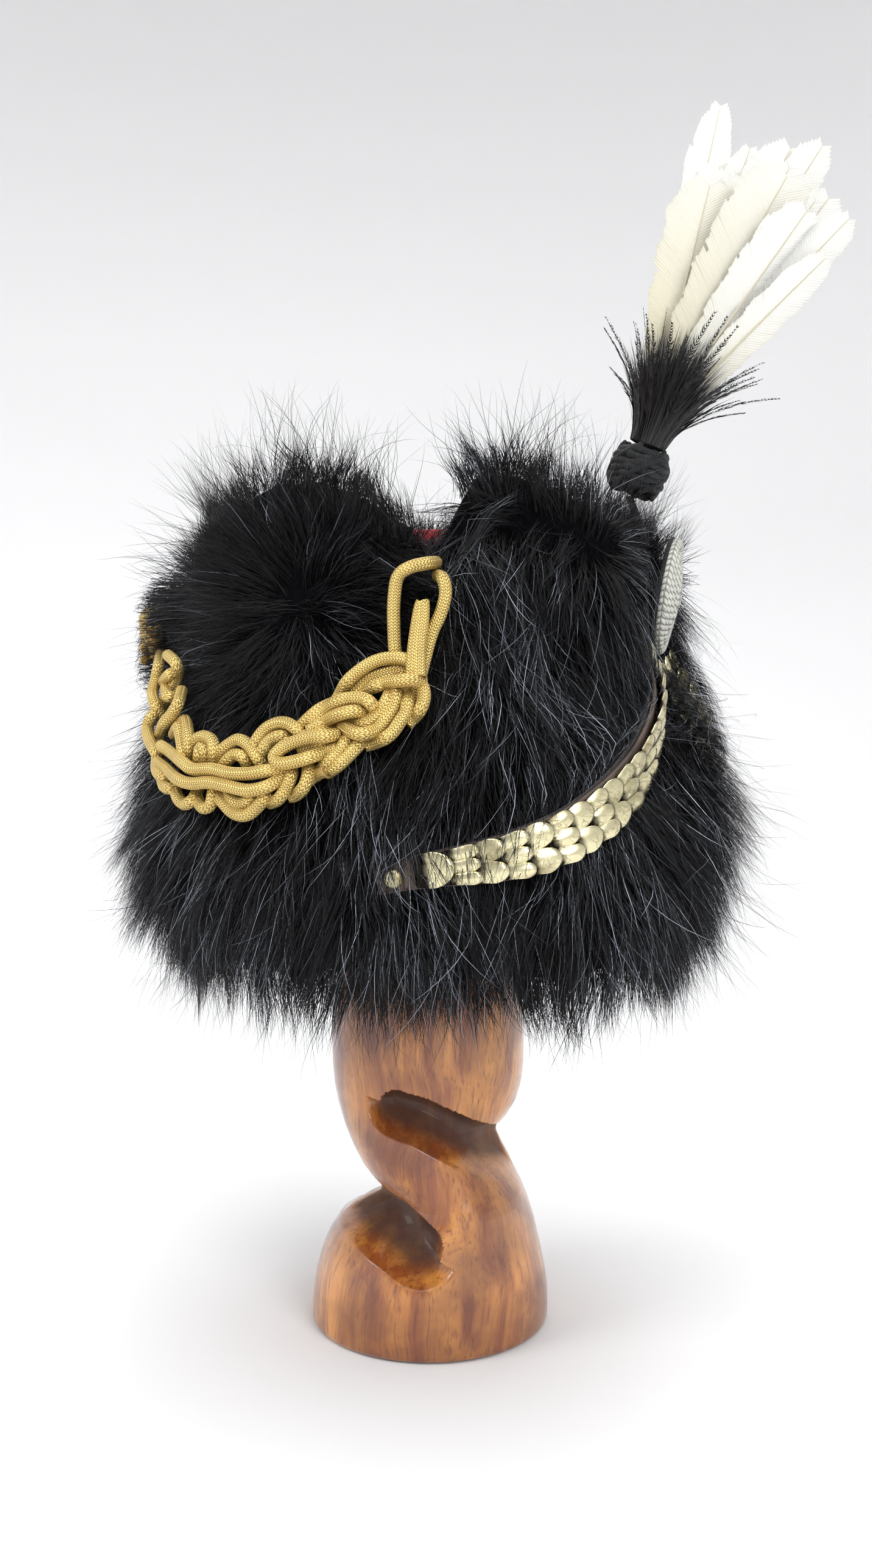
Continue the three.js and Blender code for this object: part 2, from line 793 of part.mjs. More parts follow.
// The stud through the strap's end: a domed head on a shank that reaches the shell.
function makeStud() {
  const frame = strapFrames(fineSteps)[studStep];
  const geometry = new THREE.LatheGeometry(
    [
      new THREE.Vector2(0, studShankFoot),
      new THREE.Vector2(studShank, studShankFoot),
      new THREE.Vector2(studShank, scaleFloor),
      new THREE.Vector2(studHead, scaleFloor),
      new THREE.Vector2(studHead * 0.94, scaleFloor + studHeadRise * 0.4),
      new THREE.Vector2(studHead * 0.55, scaleFloor + studHeadRise * 0.8),
      new THREE.Vector2(0, scaleFloor + studHeadRise),
    ],
    studSides,
  );
  geometry.rotateX(Math.PI / 2);
  const base = new THREE.Matrix4().makeBasis(frame.across, frame.ahead, frame.out);
  base.setPosition(frame.place);
  geometry.applyMatrix4(base);
  const holeRadius = studShank + 2 * gap;
  const hole = new THREE.CylinderGeometry(holeRadius, holeRadius, roomReach, stemSides);
  hole.rotateX(Math.PI / 2);
  hole.applyMatrix4(base);
  return { stud: solid(geometry), hole: solid(hole) };
}

// Frames along the plait, with the way out of the fur.
function plaitFrames(steps) {
  const points = plaitPath.map((row) => furPoint(row.turn, row.height, plaitLift));
  const outwards = plaitPath.map((row) => furOutward(row.turn, row.height));
  return framesAlong(points, outwards, steps);
}

// The half width of the plait at a share of its length.
function plaitHalf(share) {
  const place = share * (plaitPath.length - 1);
  const row = Math.min(Math.floor(place), plaitPath.length - 2);
  return THREE.MathUtils.lerp(plaitPath[row].half, plaitPath[row + 1].half, place - row);
}

// One strand of the plait: two cords side by side, as one flattened section.
function plaitStrand(frames, strand) {
  const middles = frames.map((frame) => {
    const phase = 2 * Math.PI * (plaitTurns * frame.share + strand / 3);
    const reach = plaitHalf(frame.share) - strandHalfWidth + 2 * gap;
    const across = reach * Math.sin(phase);
    const out = strandHalfHeight + plaitSway * (1 + Math.sin(2 * phase));
    return offset(frame, across, out);
  });
  const curve = new THREE.CatmullRomCurve3(middles);
  const rings = frames.map((frame, step) => {
    const ahead = curve.getTangent(step / (frames.length - 1));
    const across = new THREE.Vector3().crossVectors(ahead, frame.out).normalize();
    const out = new THREE.Vector3().crossVectors(across, ahead).normalize();
    const place = middles[step];
    const corner = (w, h) => place.clone().addScaledVector(across, w).addScaledVector(out, h);
    return [
      corner(-strandHalfWidth, -strandHalfHeight * 0.5),
      corner(strandHalfWidth, -strandHalfHeight * 0.5),
      corner(strandHalfWidth * 0.6, strandHalfHeight),
      corner(-strandHalfWidth * 0.6, strandHalfHeight),
    ];
  });
  return solid(loft(rings));
}

// A round cord along a route over the fur.
function cordAlong(route, radius) {
  const points = route.map((row) => furPoint(row.turn, row.height, row.lift));
  const outwards = route.map((row) => furOutward(row.turn, row.height));
  const frames = framesAlong(points, outwards, route.length);
  const rings = frames.map((frame) => {
    const ring = [];
    for (let side = 0; side < cordSides; side += 1) {
      const angle = (2 * Math.PI * side) / cordSides;
      ring.push(offset(frame, radius * Math.cos(angle), radius * Math.sin(angle)));
    }
    return ring;
  });
  return solid(loft(rings));
}

// The plait with the cords that hang it, and the room it takes in the fur.
function makePlait() {
  const frames = plaitFrames(plaitSteps);
  const strands = [0, 1, 2].map((strand) => plaitStrand(frames, strand));
  const cords = hangers.map((hanger) => cordAlong(hanger.route, cordDiameter / 2));
  const made = mainPiece(joined([...strands, ...cords]));
  const bedFrames = plaitFrames(roomSteps);
  const bedWidth = (along) => 2 * plaitHalf(along / bedFrames.at(-1).along) + bedMargin;
  const ends = [bedFrames[0], bedFrames.at(-1)].map((frame, end) => ({
    ...frame,
    place: frame.place.clone().addScaledVector(frame.ahead, end === 0 ? -bedMargin : bedMargin),
  }));
  const bed = strip([ends[0], ...bedFrames, ends[1]], -gap, bedDepth, bedWidth);
  const pocketPoints = hangerPocket.map((row) => furPoint(row.turn, row.height, row.lift));
  const pocketOutwards = hangerPocket.map((row) => furOutward(row.turn, row.height));
  const pocketFrames = framesAlong(pocketPoints, pocketOutwards, hangerPocket.length);
  const pocket = strip(pocketFrames, 0, hangerPocketDepth, () => hangerPocketWidth);
  return { made, room: bed.add(pocket) };
}

// The boss: an oval of cord in rings round a raised middle, which faces a little down and aside.
function makeBoss() {
  const half = bossHeight / 2;
  const back = -bossThickness / 2;
  const front = bossThickness / 2;
  const profile = [
    [0, back],
    [half, back],
    [half, front - 1.5],
    [half * 0.84, front],
    [half * 0.66, front - bossGroove],
    [half * 0.5, front],
    [half * 0.36, front - bossGroove],
    [0, front],
  ];
  const geometry = new THREE.LatheGeometry(
    profile.map(([radius, height]) => new THREE.Vector2(radius, height)),
    bossSides,
  );
  geometry.rotateX(Math.PI / 2);
  geometry.scale(1, bossWidth / bossHeight, 1);
  geometry.rotateY(Math.PI / 2 + radians(bossTilt));
  geometry.rotateZ(radians(bossTurn));
  geometry.translate(...bossCentre.toArray());
  return solid(geometry);
}

// The room for the boss, open to the front.
function bossRoom() {
  const inner = bossHeight / 2 + 3 * gap;
  const outer = inner + bossRoomFlare;
  const room = new THREE.CylinderGeometry(outer, inner, bossRoomDepth, roomSides);
  room.rotateX(Math.PI / 2);
  room.translate(0, 0, (bossRoomDepth - bossThickness) / 2 - gap);
  room.scale(1, bossWidth / bossHeight, 1);
  room.rotateY(Math.PI / 2 + radians(bossTilt));
  room.rotateZ(radians(bossTurn));
  room.translate(...bossCentre.toArray());
  return solid(room);
}

// A frame that stands on a centre and leans forward from the upright.
function leaning(centre, lean) {
  const turned = new THREE.Matrix4().makeRotationY(radians(lean));
  return turned.setPosition(centre);
}

// The olive: a squat barrel of cord, waisted between its two windings.
function makeOlive() {
  const half = oliveHeight / 2;
  const radius = oliveRadius;
  const geometry = new THREE.LatheGeometry(
    [
      new THREE.Vector2(0, -half),
      new THREE.Vector2(radius * 0.72, -half),
      new THREE.Vector2(radius, -half * 0.55),
      new THREE.Vector2(radius * 0.94, 0),
      new THREE.Vector2(radius, half * 0.5),
      new THREE.Vector2(radius * 0.7, half),
      new THREE.Vector2(0, half),
    ],
    oliveSides,
  );
  geometry.rotateX(Math.PI / 2);
  geometry.applyMatrix4(leaning(oliveCentre, oliveLean));
  return solid(geometry);
}

// The room for the olive, a plain round.
function oliveRoom() {
  const room = new THREE.SphereGeometry(oliveRadius + 4 * gap, roomSides, bowlRows);
  room.rotateX(Math.PI / 2);
  room.applyMatrix4(leaning(oliveCentre, oliveLean));
  return solid(room);
}

// The foot of the feathers: the middle of the olive's top.
function plumeFoot(rise) {
  return new THREE.Vector3(0, 0, oliveHeight / 2 + rise).applyMatrix4(leaning(oliveCentre, oliveLean));
}

// The stem: a wire from behind the boss up to the olive.
function makeStem(extra = 0) {
  const foot = new THREE.Vector3(0, 0, -oliveHeight / 2 - 3 * gap);
  foot.applyMatrix4(leaning(oliveCentre, oliveLean));
  const points = [
    new THREE.Vector3(98.8, 0, 300.5),
    new THREE.Vector3(97.5, 0, 312),
    new THREE.Vector3(93.5, 0, 326),
    foot,
  ];
  const outwards = points.map(() => new THREE.Vector3(1, 0, 0));
  const frames = framesAlong(points, outwards, stemSteps);
  const rings = frames.map((frame) => {
    const ring = [];
    for (let side = 0; side < stemSides; side += 1) {
      const angle = (2 * Math.PI * side) / stemSides;
      const radius = stemRadius + extra;
      ring.push(offset(frame, radius * Math.cos(angle), radius * Math.sin(angle)));
    }
    return ring;
  });
  return solid(loft(rings));
}

// One feather as a thin leaf from the plume's foot, thicker by extra all round.
function featherBlade(row, extra = 0) {
  const foot = plumeFoot(quillRise + 2 * gap);
  const ahead = new THREE.Vector3(0, 0, 1).applyEuler(
    new THREE.Euler(radians(-row.splay), radians(row.lean), 0, 'YXZ'),
  );
  const flat = new THREE.Vector3(1, 0, 0).applyAxisAngle(up, radians(row.roll));
  flat.addScaledVector(ahead, -flat.dot(ahead)).normalize();
  const thick = new THREE.Vector3().crossVectors(ahead, flat).normalize();
  const profile = [
    { along: 0, width: 0.14 },
    { along: 0.45, width: 0.85 },
    { along: 0.84, width: 1 },
    { along: 1, width: 0.42 },
  ];
  const rings = profile.map(({ along, width }) => {
    const middle = foot.clone().addScaledVector(ahead, along * row.length);
    const half = (row.width * width) / 2 + extra;
    const depth = featherHalfDepth + extra;
    return [
      middle.clone().addScaledVector(flat, half),
      middle.clone().addScaledVector(thick, depth),
      middle.clone().addScaledVector(flat, -half),
      middle.clone().addScaledVector(thick, -depth),
    ];
  });
  return solid(loft(rings));
}

// The white feathers, bound together at their quills.
function makeFeathers(extra = 0) {
  const quillTop = quillRadiusHigh + extra;
  const binding = new THREE.CylinderGeometry(quillTop, quillRadiusLow + extra, quillLength, studSides);
  binding.rotateX(Math.PI / 2);
  binding.translate(0, 0, quillLength / 2);
  binding.applyMatrix4(leaning(plumeFoot(quillRise), plumeLean));
  return joined([solid(binding), ...feathers.map((row) => featherBlade(row, extra))]);
}

// The black hackle: a cup round the feathers with a fringe of strips.
function makeHackle() {
  const cup = new THREE.LatheGeometry(
    [
      new THREE.Vector2(0, hackleFoot),
      new THREE.Vector2(hackleNeck, hackleFoot),
      new THREE.Vector2(hackleWaistRadius, hackleWaist),
      new THREE.Vector2(hackleMouth, hackleDepth),
      new THREE.Vector2(hackleMouth - hackleWall, hackleDepth),
      new THREE.Vector2(hackleWaistRadius - hackleWall, hackleWaist),
      new THREE.Vector2(hackleNeck - hackleWall, hackleFloor),
      new THREE.Vector2(0, hackleFloor),
    ],
    hackleSides,
  );
  cup.rotateX(Math.PI / 2);
  const strips = [];
  hackleRings.forEach((ring, ringNumber) => {
    for (let number = 0; number < ring.count; number += 1) {
      const seed = 500 + ringNumber * 31 + number;
      const angle = radians(ring.start + (360 * number) / ring.count + 9 * scatter(seed));
      const lean = radians(ring.lean + 7 * scatter(seed + 0.4));
      const length = ring.length * (1 + 0.14 * scatter(seed + 0.7));
      const outward = new THREE.Vector3(Math.cos(angle), Math.sin(angle), 0);
      const direction = outward.clone().multiplyScalar(Math.sin(lean));
      direction.addScaledVector(up, Math.cos(lean));
      const start = outward.clone().multiplyScalar(hackleNeck - 1).addScaledVector(up, hackleRootRise);
      const side = new THREE.Vector3().crossVectors(up, outward).normalize();
      const thick = new THREE.Vector3().crossVectors(direction, side).normalize();
      const root = [
        start.clone().addScaledVector(side, hackleStripHalfWidth),
        start.clone().addScaledVector(thick, hackleStripHalfDepth),
        start.clone().addScaledVector(side, -hackleStripHalfWidth),
        start.clone().addScaledVector(thick, -hackleStripHalfDepth),
      ];
      strips.push(solid(pointed(root, start.clone().addScaledVector(direction, length))));
    }
  });
  const mouth = new THREE.LatheGeometry(
    [
      new THREE.Vector2(0, hackleFloor),
      new THREE.Vector2(hackleNeck - hackleWall, hackleFloor),
      new THREE.Vector2(hackleWaistRadius - hackleWall, hackleWaist),
      new THREE.Vector2(hackleMouth - hackleWall, hackleDepth),
      new THREE.Vector2(hackleMouth * 1.5, hackleDepth + roomReach),
      new THREE.Vector2(0, hackleDepth + roomReach),
    ],
    hackleSides,
  );
  mouth.rotateX(Math.PI / 2);
  const placed = leaning(plumeFoot(0), plumeLean);
  const made = joined([solid(cup), ...strips]).subtract(solid(mouth));
  return moved(made, placed);
}

// A solid carried by a matrix.
function moved(made, matrix) {
  return solid(geometryOf(made).applyMatrix4(matrix));
}

// The wedge cut through the rim's fur at the side.
function notchRoom() {
  const wedge = new THREE.Shape();
  wedge.moveTo(-3.5, 306);
  wedge.lineTo(3.5, 306);
  wedge.lineTo(10, furRim + 40);
  wedge.lineTo(-13, furRim + 40);
  wedge.closePath();
  const geometry = new THREE.ExtrudeGeometry(wedge, { depth: 80, bevelEnabled: false });
  geometry.rotateX(Math.PI / 2);
  geometry.rotateZ(Math.PI / 2);
  geometry.translate(60, 0, 0);
  geometry.rotateZ(radians(-notchTurn + 5));
  return solid(geometry);
}

// A copy of a solid on the wearer's other side.
function mirrored(made) {
  const geometry = geometryOf(made);
  geometry.scale(1, -1, 1);
  return solid(geometry);
}

const busby = new THREE.Group();
busby.name = 'busby_on_stand';

const stand = makeStand();
const shell = makeShell();
const topCloth = makeTopCloth();
const boss = makeBoss();
const { lining, leather } = makeStrapLayers();
const { stud, hole } = makeStud();
const bothHoles = hole.add(mirrored(hole));
const scales = makeScales();
const { made: plait, room: plaitRoom } = makePlait();

const sideRooms = [strapRoom(), hole, plaitRoom, notchRoom()];
const middleRooms = [shellRoom(), bossRoom(), strapTopRoom(), oliveRoom(), makeStem(gap)];
const furRooms = [...sideRooms, ...sideRooms.map(mirrored), ...middleRooms];
const furCover = mainPiece(furRooms.reduce((coat, room) => coat.subtract(room), furSkin()));

busby.add(stand, shell, topCloth);
busby.add(piece('fur_cover', furCover, finishes.fur));
busby.add(piece('boss', boss, finishes.silverCord));
busby.add(piece('strap_lining', lining.subtract(bothHoles), finishes.lining));
busby.add(piece('strap_leather', leather.subtract(bothHoles), finishes.leather));
busby.add(piece('plume_stem', makeStem(), finishes.blackCord));
busby.add(piece('plume_olive', makeOlive(), finishes.blackCord));
busby.add(piece('plume_hackle', mainPiece(makeHackle().subtract(makeFeathers(gap))), finishes.hackle));
busby.add(piece('plume_feathers', makeFeathers(), finishes.feather));

const sides = [
  { side: 'right', placed: (made) => made },
  { side: 'left', placed: mirrored },
];
for (const { side, placed } of sides) {
  busby.add(piece(`cord_plait_${side}`, placed(plait), finishes.gilt));
  busby.add(piece(`stud_${side}`, placed(stud), finishes.brass));
  scales.forEach((scale, number) => {
    const label = String(number + 1).padStart(2, '0');
    busby.add(piece(`scale_${side}_${label}`, placed(scale), finishes.brass));
  });
}

export default busby;
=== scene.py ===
"""A fur busby on its carved wooden stand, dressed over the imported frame.

Sizes are in millimetres until a mesh is made. +Z is up, +X the front of the busby and -Y the
wearer's right. A turn is an angle in degrees round the busby, from the front to the wearer's right.
"""

import json
import logging
import math
from contextlib import contextmanager
from dataclasses import dataclass, field
from enum import Enum, IntEnum
from typing import Any, Callable, Iterable, Iterator, Sequence

import bpy
import numpy as np
from mathutils import Matrix, Vector

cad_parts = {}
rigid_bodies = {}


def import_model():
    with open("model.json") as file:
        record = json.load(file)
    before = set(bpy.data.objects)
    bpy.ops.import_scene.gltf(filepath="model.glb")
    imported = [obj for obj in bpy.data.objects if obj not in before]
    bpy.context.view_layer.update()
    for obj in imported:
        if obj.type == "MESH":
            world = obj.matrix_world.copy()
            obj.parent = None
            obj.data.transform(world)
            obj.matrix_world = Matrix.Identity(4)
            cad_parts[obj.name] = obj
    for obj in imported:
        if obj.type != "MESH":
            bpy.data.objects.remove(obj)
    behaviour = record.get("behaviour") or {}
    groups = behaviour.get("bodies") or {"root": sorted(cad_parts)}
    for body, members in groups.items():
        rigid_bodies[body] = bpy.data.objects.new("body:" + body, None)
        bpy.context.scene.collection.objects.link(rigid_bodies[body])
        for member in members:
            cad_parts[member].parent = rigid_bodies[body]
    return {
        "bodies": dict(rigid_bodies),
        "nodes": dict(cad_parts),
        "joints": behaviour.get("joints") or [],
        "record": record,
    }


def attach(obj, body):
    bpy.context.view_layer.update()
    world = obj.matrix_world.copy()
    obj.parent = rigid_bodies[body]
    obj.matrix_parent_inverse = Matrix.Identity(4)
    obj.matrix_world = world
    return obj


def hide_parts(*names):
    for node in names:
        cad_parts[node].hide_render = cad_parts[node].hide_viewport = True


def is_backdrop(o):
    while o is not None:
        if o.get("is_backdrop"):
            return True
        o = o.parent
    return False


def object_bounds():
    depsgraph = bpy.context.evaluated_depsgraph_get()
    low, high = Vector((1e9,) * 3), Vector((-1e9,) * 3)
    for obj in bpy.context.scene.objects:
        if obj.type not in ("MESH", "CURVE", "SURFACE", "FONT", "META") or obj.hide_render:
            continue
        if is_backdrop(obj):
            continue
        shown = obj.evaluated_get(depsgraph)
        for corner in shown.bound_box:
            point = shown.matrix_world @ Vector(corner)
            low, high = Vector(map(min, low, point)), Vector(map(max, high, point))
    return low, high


LOG = logging.getLogger("busby")
MM = 0.001
BODY = "root"
Array = np.ndarray
Numbers = tuple[float, ...]
Color = tuple[float, ...]
Spot = tuple[float, float, float]
Piece = bpy.types.Object
Material = bpy.types.Material
Tree = bpy.types.NodeTree
Socket = bpy.types.NodeSocket


class Side(Enum):
    """The wearer's two sides, as the sign of Y."""

    RIGHT = -1
    LEFT = 1


def unit(vectors: Array) -> Array:
    """Vectors of length one.

    Args:
        vectors: Any number of vectors, in the last axis.

    Returns:
        The same directions with length one.
    """
    length = np.linalg.norm(vectors, axis=-1, keepdims=True)
    return vectors / np.maximum(length, 1e-9)


def mirrored(points: Array) -> Array:
    """Points on the wearer's other side."""
    return points * np.array([1.0, -1.0, 1.0])


def stack(*parts: Any) -> Array:
    """Arrays side by side in a new last axis."""
    return np.stack(parts, -1)


def ramp_up(value: Array, start: float, span: float) -> Array:
    """0 up to a start and 1 from a span past it."""
    return np.clip((value - start) / span, 0, 1)


def ramp_down(value: Array, end: float, span: float) -> Array:
    """0 from an end on and 1 up to a span before it."""
    return np.clip((end - value) / span, 0, 1)


def polar(angle: Array, reach: Array | float, rise: Array) -> Array:
    """Points or ways round the Z axis."""
    return stack(reach * np.cos(angle), reach * np.sin(angle), rise)


def signed(turn: Array) -> Array:
    """Turns between -180 and 180, above 0 on the wearer's right."""
    return (turn + 180) % 360 - 180


def placed(points: Array, frame: Matrix) -> Array:
    """Points in millimetres, moved from a frame of their own to the busby's."""
    axes = np.array(frame)
    return points @ axes[:3, :3].T + axes[:3, 3] / MM


# Meshes


def mesh_piece(
    name: str, points: Array, faces: Sequence[Array], uvs: Sequence[Array] | None = None,
    smooth: bool = True
) -> Piece:
    """Makes one object from arrays.

    Args:
        name: The object's name.
        points: Corners in millimetres, one row each.
        faces: Arrays of corner numbers, one array for each face size.
        uvs: One array of corner UVs for each array of faces, in the same order.
        smooth: Whether the faces are shaded smooth.

    Returns:
        The new object, at the origin.
    """
    mesh = bpy.data.meshes.new(name)
    mesh.vertices.add(len(points))
    mesh.vertices.foreach_set("co", (np.asarray(points, float) * MM).ravel())
    corners = np.concatenate([np.asarray(group).ravel() for group in faces])
    sizes = np.concatenate([np.full(len(group), group.shape[1]) for group in faces])
    starts = np.concatenate([[0], np.cumsum(sizes)[:-1]])
    mesh.loops.add(len(corners))
    mesh.loops.foreach_set("vertex_index", corners.astype(np.int32))
    mesh.polygons.add(len(sizes))
    mesh.polygons.foreach_set("loop_start", starts.astype(np.int32))
    mesh.polygons.foreach_set("use_smooth", np.full(len(sizes), smooth))
    mesh.update(calc_edges=True)
    if uvs is not None:
        layer = mesh.uv_layers.new(name="Strand")
        flat = np.concatenate([np.asarray(group, float).reshape(-1, 2) for group in uvs])
        layer.uv.foreach_set("vector", flat.ravel())
    piece = bpy.data.objects.new(name, mesh)
    bpy.context.scene.collection.objects.link(piece)
    return piece


def tube_faces(rings: int, sides: int, closed: bool = False) -> Array:
    """The faces of a tube.

    Args:
        rings: How many rings of corners it has.
        sides: How many corners there are in each ring.
        closed: Whether the last ring joins the first.

    Returns:
        One row of four corners for each face.
    """
    row = np.arange(rings if closed else rings - 1)[:, None]
    column = np.arange(sides)[None, :]
    following = (column + 1) % sides
    low = row * sides
    high = (row + 1) % rings * sides
    return stack(low + column, low + following, high + following, high + column).reshape(-1, 4)


@dataclass
class MeshHeap:
    """Arrays of many small forms that become one object."""

    points: list[Array] = field(default_factory=list)
    quads: list[Array] = field(default_factory=list)
    quad_uvs: list[Array] = field(default_factory=list)
    triangles: list[Array] = field(default_factory=list)
    triangle_uvs: list[Array] = field(default_factory=list)
    count: int = 0

    def add(
        self, points: Array, quads: Array | None = None, quad_uvs: Array | None = None,
        triangles: Array | None = None, triangle_uvs: Array | None = None
    ) -> None:
        """Adds one form.

        Args:
            points: Its corners in millimetres.
            quads: Its four-sided faces.
            quad_uvs: UVs of the corners of those faces.
            triangles: Its three-sided faces.
            triangle_uvs: UVs of the corners of those faces.
        """
        self.points.append(points)
        if quads is not None and len(quads):
            self.quads.append(quads + self.count)
            self.quad_uvs.append(np.zeros((*quads.shape, 2)) if quad_uvs is None else quad_uvs)
        if triangles is not None and len(triangles):
            self.triangles.append(triangles + self.count)
            blank = np.zeros((*triangles.shape, 2))
            self.triangle_uvs.append(blank if triangle_uvs is None else triangle_uvs)
        self.count += len(points)

    def piece(self, name: str, smooth: bool = True) -> Piece:
        """Makes the object.

        Args:
            name: The object's name.
            smooth: Whether the faces are shaded smooth.

        Returns:
            The new object.
        """
        faces = []
        uvs = []
        for group, group_uvs in ((self.quads, self.quad_uvs), (self.triangles, self.triangle_uvs)):
            if group:
                faces.append(np.concatenate(group))
                uvs.append(np.concatenate(group_uvs))
        return mesh_piece(name, np.concatenate(self.points), faces, uvs, smooth)


class Bench:
    """Blender's own modelling tools, used one object at a time."""

    @staticmethod
    def deselect() -> None:
        """Leaves object mode with nothing selected."""
        if bpy.context.mode != "OBJECT":
            bpy.ops.object.mode_set(mode="OBJECT")
        bpy.ops.object.select_all(action="DESELECT")

    @staticmethod
    def take(piece: Piece) -> None:
        """Makes one object the only selected and active one.

        Args:
            piece: The object.
        """
        Bench.deselect()
        piece.select_set(True)
        bpy.context.view_layer.objects.active = piece

    @staticmethod
    @contextmanager
    def editing(piece: Piece) -> Iterator[None]:
        """Edit mode on one object with all of it selected, for the length of a with block.

        Args:
            piece: The object.

        Returns:
            The with block's manager.
        """
        Bench.take(piece)
        bpy.ops.object.mode_set(mode="EDIT")
        bpy.ops.mesh.select_all(action="SELECT")
        yield
        bpy.ops.object.mode_set(mode="OBJECT")

    @staticmethod
    def named(name: str) -> Piece:
        """Names the active object.

        Args:
            name: The new name of the object and its mesh.

        Returns:
            The object.
        """
        piece = bpy.context.active_object
        piece.name = name
        piece.data.name = name
        return piece

    @staticmethod
    def settle(piece: Piece) -> None:
        """Applies an object's place, turn and size to its mesh.

        Args:
            piece: The object.
        """
        Bench.take(piece)
        bpy.ops.object.transform_apply(location=True, rotation=True, scale=True)

    @staticmethod
    def finish(piece: Piece, kind: str, **settings: Any) -> None:
        """Adds one modifier and applies it.

        Args:
            piece: The object.
            kind: The modifier's type.
            **settings: The modifier's settings.
        """
        Bench.take(piece)
        modifier = piece.modifiers.new(kind.title(), kind)
        for key, value in settings.items():
            setattr(modifier, key, value)
        bpy.ops.object.modifier_apply(modifier=modifier.name)

    @staticmethod
    def reshape(piece: Piece, shape: Callable[[Array], Array]) -> None:
        """Moves every corner of a mesh by one rule.

        Args:
            piece: The object.
            shape: Takes and gives corners in millimetres.
        """
        mesh = piece.data
        corners = np.zeros(len(mesh.vertices) * 3)
        mesh.vertices.foreach_get("co", corners)
        moved = shape(corners.reshape(-1, 3) / MM) * MM
        mesh.vertices.foreach_set("co", moved.ravel())
        mesh.update()

    @staticmethod
    def smooth(piece: Piece, degrees: float = 40.0) -> None:
        """Shades an object smooth up to an angle.

        Args:
            piece: The object.
            degrees: Edges sharper than this stay sharp.
        """
        Bench.take(piece)
        bpy.ops.object.shade_smooth_by_angle(angle=math.radians(degrees))


def mark(piece: Piece, name: str, values: Array) -> None:
    """Gives each corner of a piece a number that its material reads."""
    piece.data.attributes.new(name, "FLOAT", "POINT").data.foreach_set("value", values)


def dress(piece: Piece, material: Material, replaced: Iterable[str] = ()) -> Piece:
    """Gives a piece its material and its place in the frame.

    Args:
        piece: The object.
        material: Its material.
        replaced: The CAD nodes that it stands for.

    Returns:
        The same object.
    """
    piece.data.materials.clear()
    piece.data.materials.append(material)
    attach(piece, BODY)
    names = list(replaced)
    if names:
        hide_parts(*names)
    piece.data.calc_loop_triangles()
    LOG.info("%s: %d triangles", piece.name, len(piece.data.loop_triangles))
    return piece


# Materials


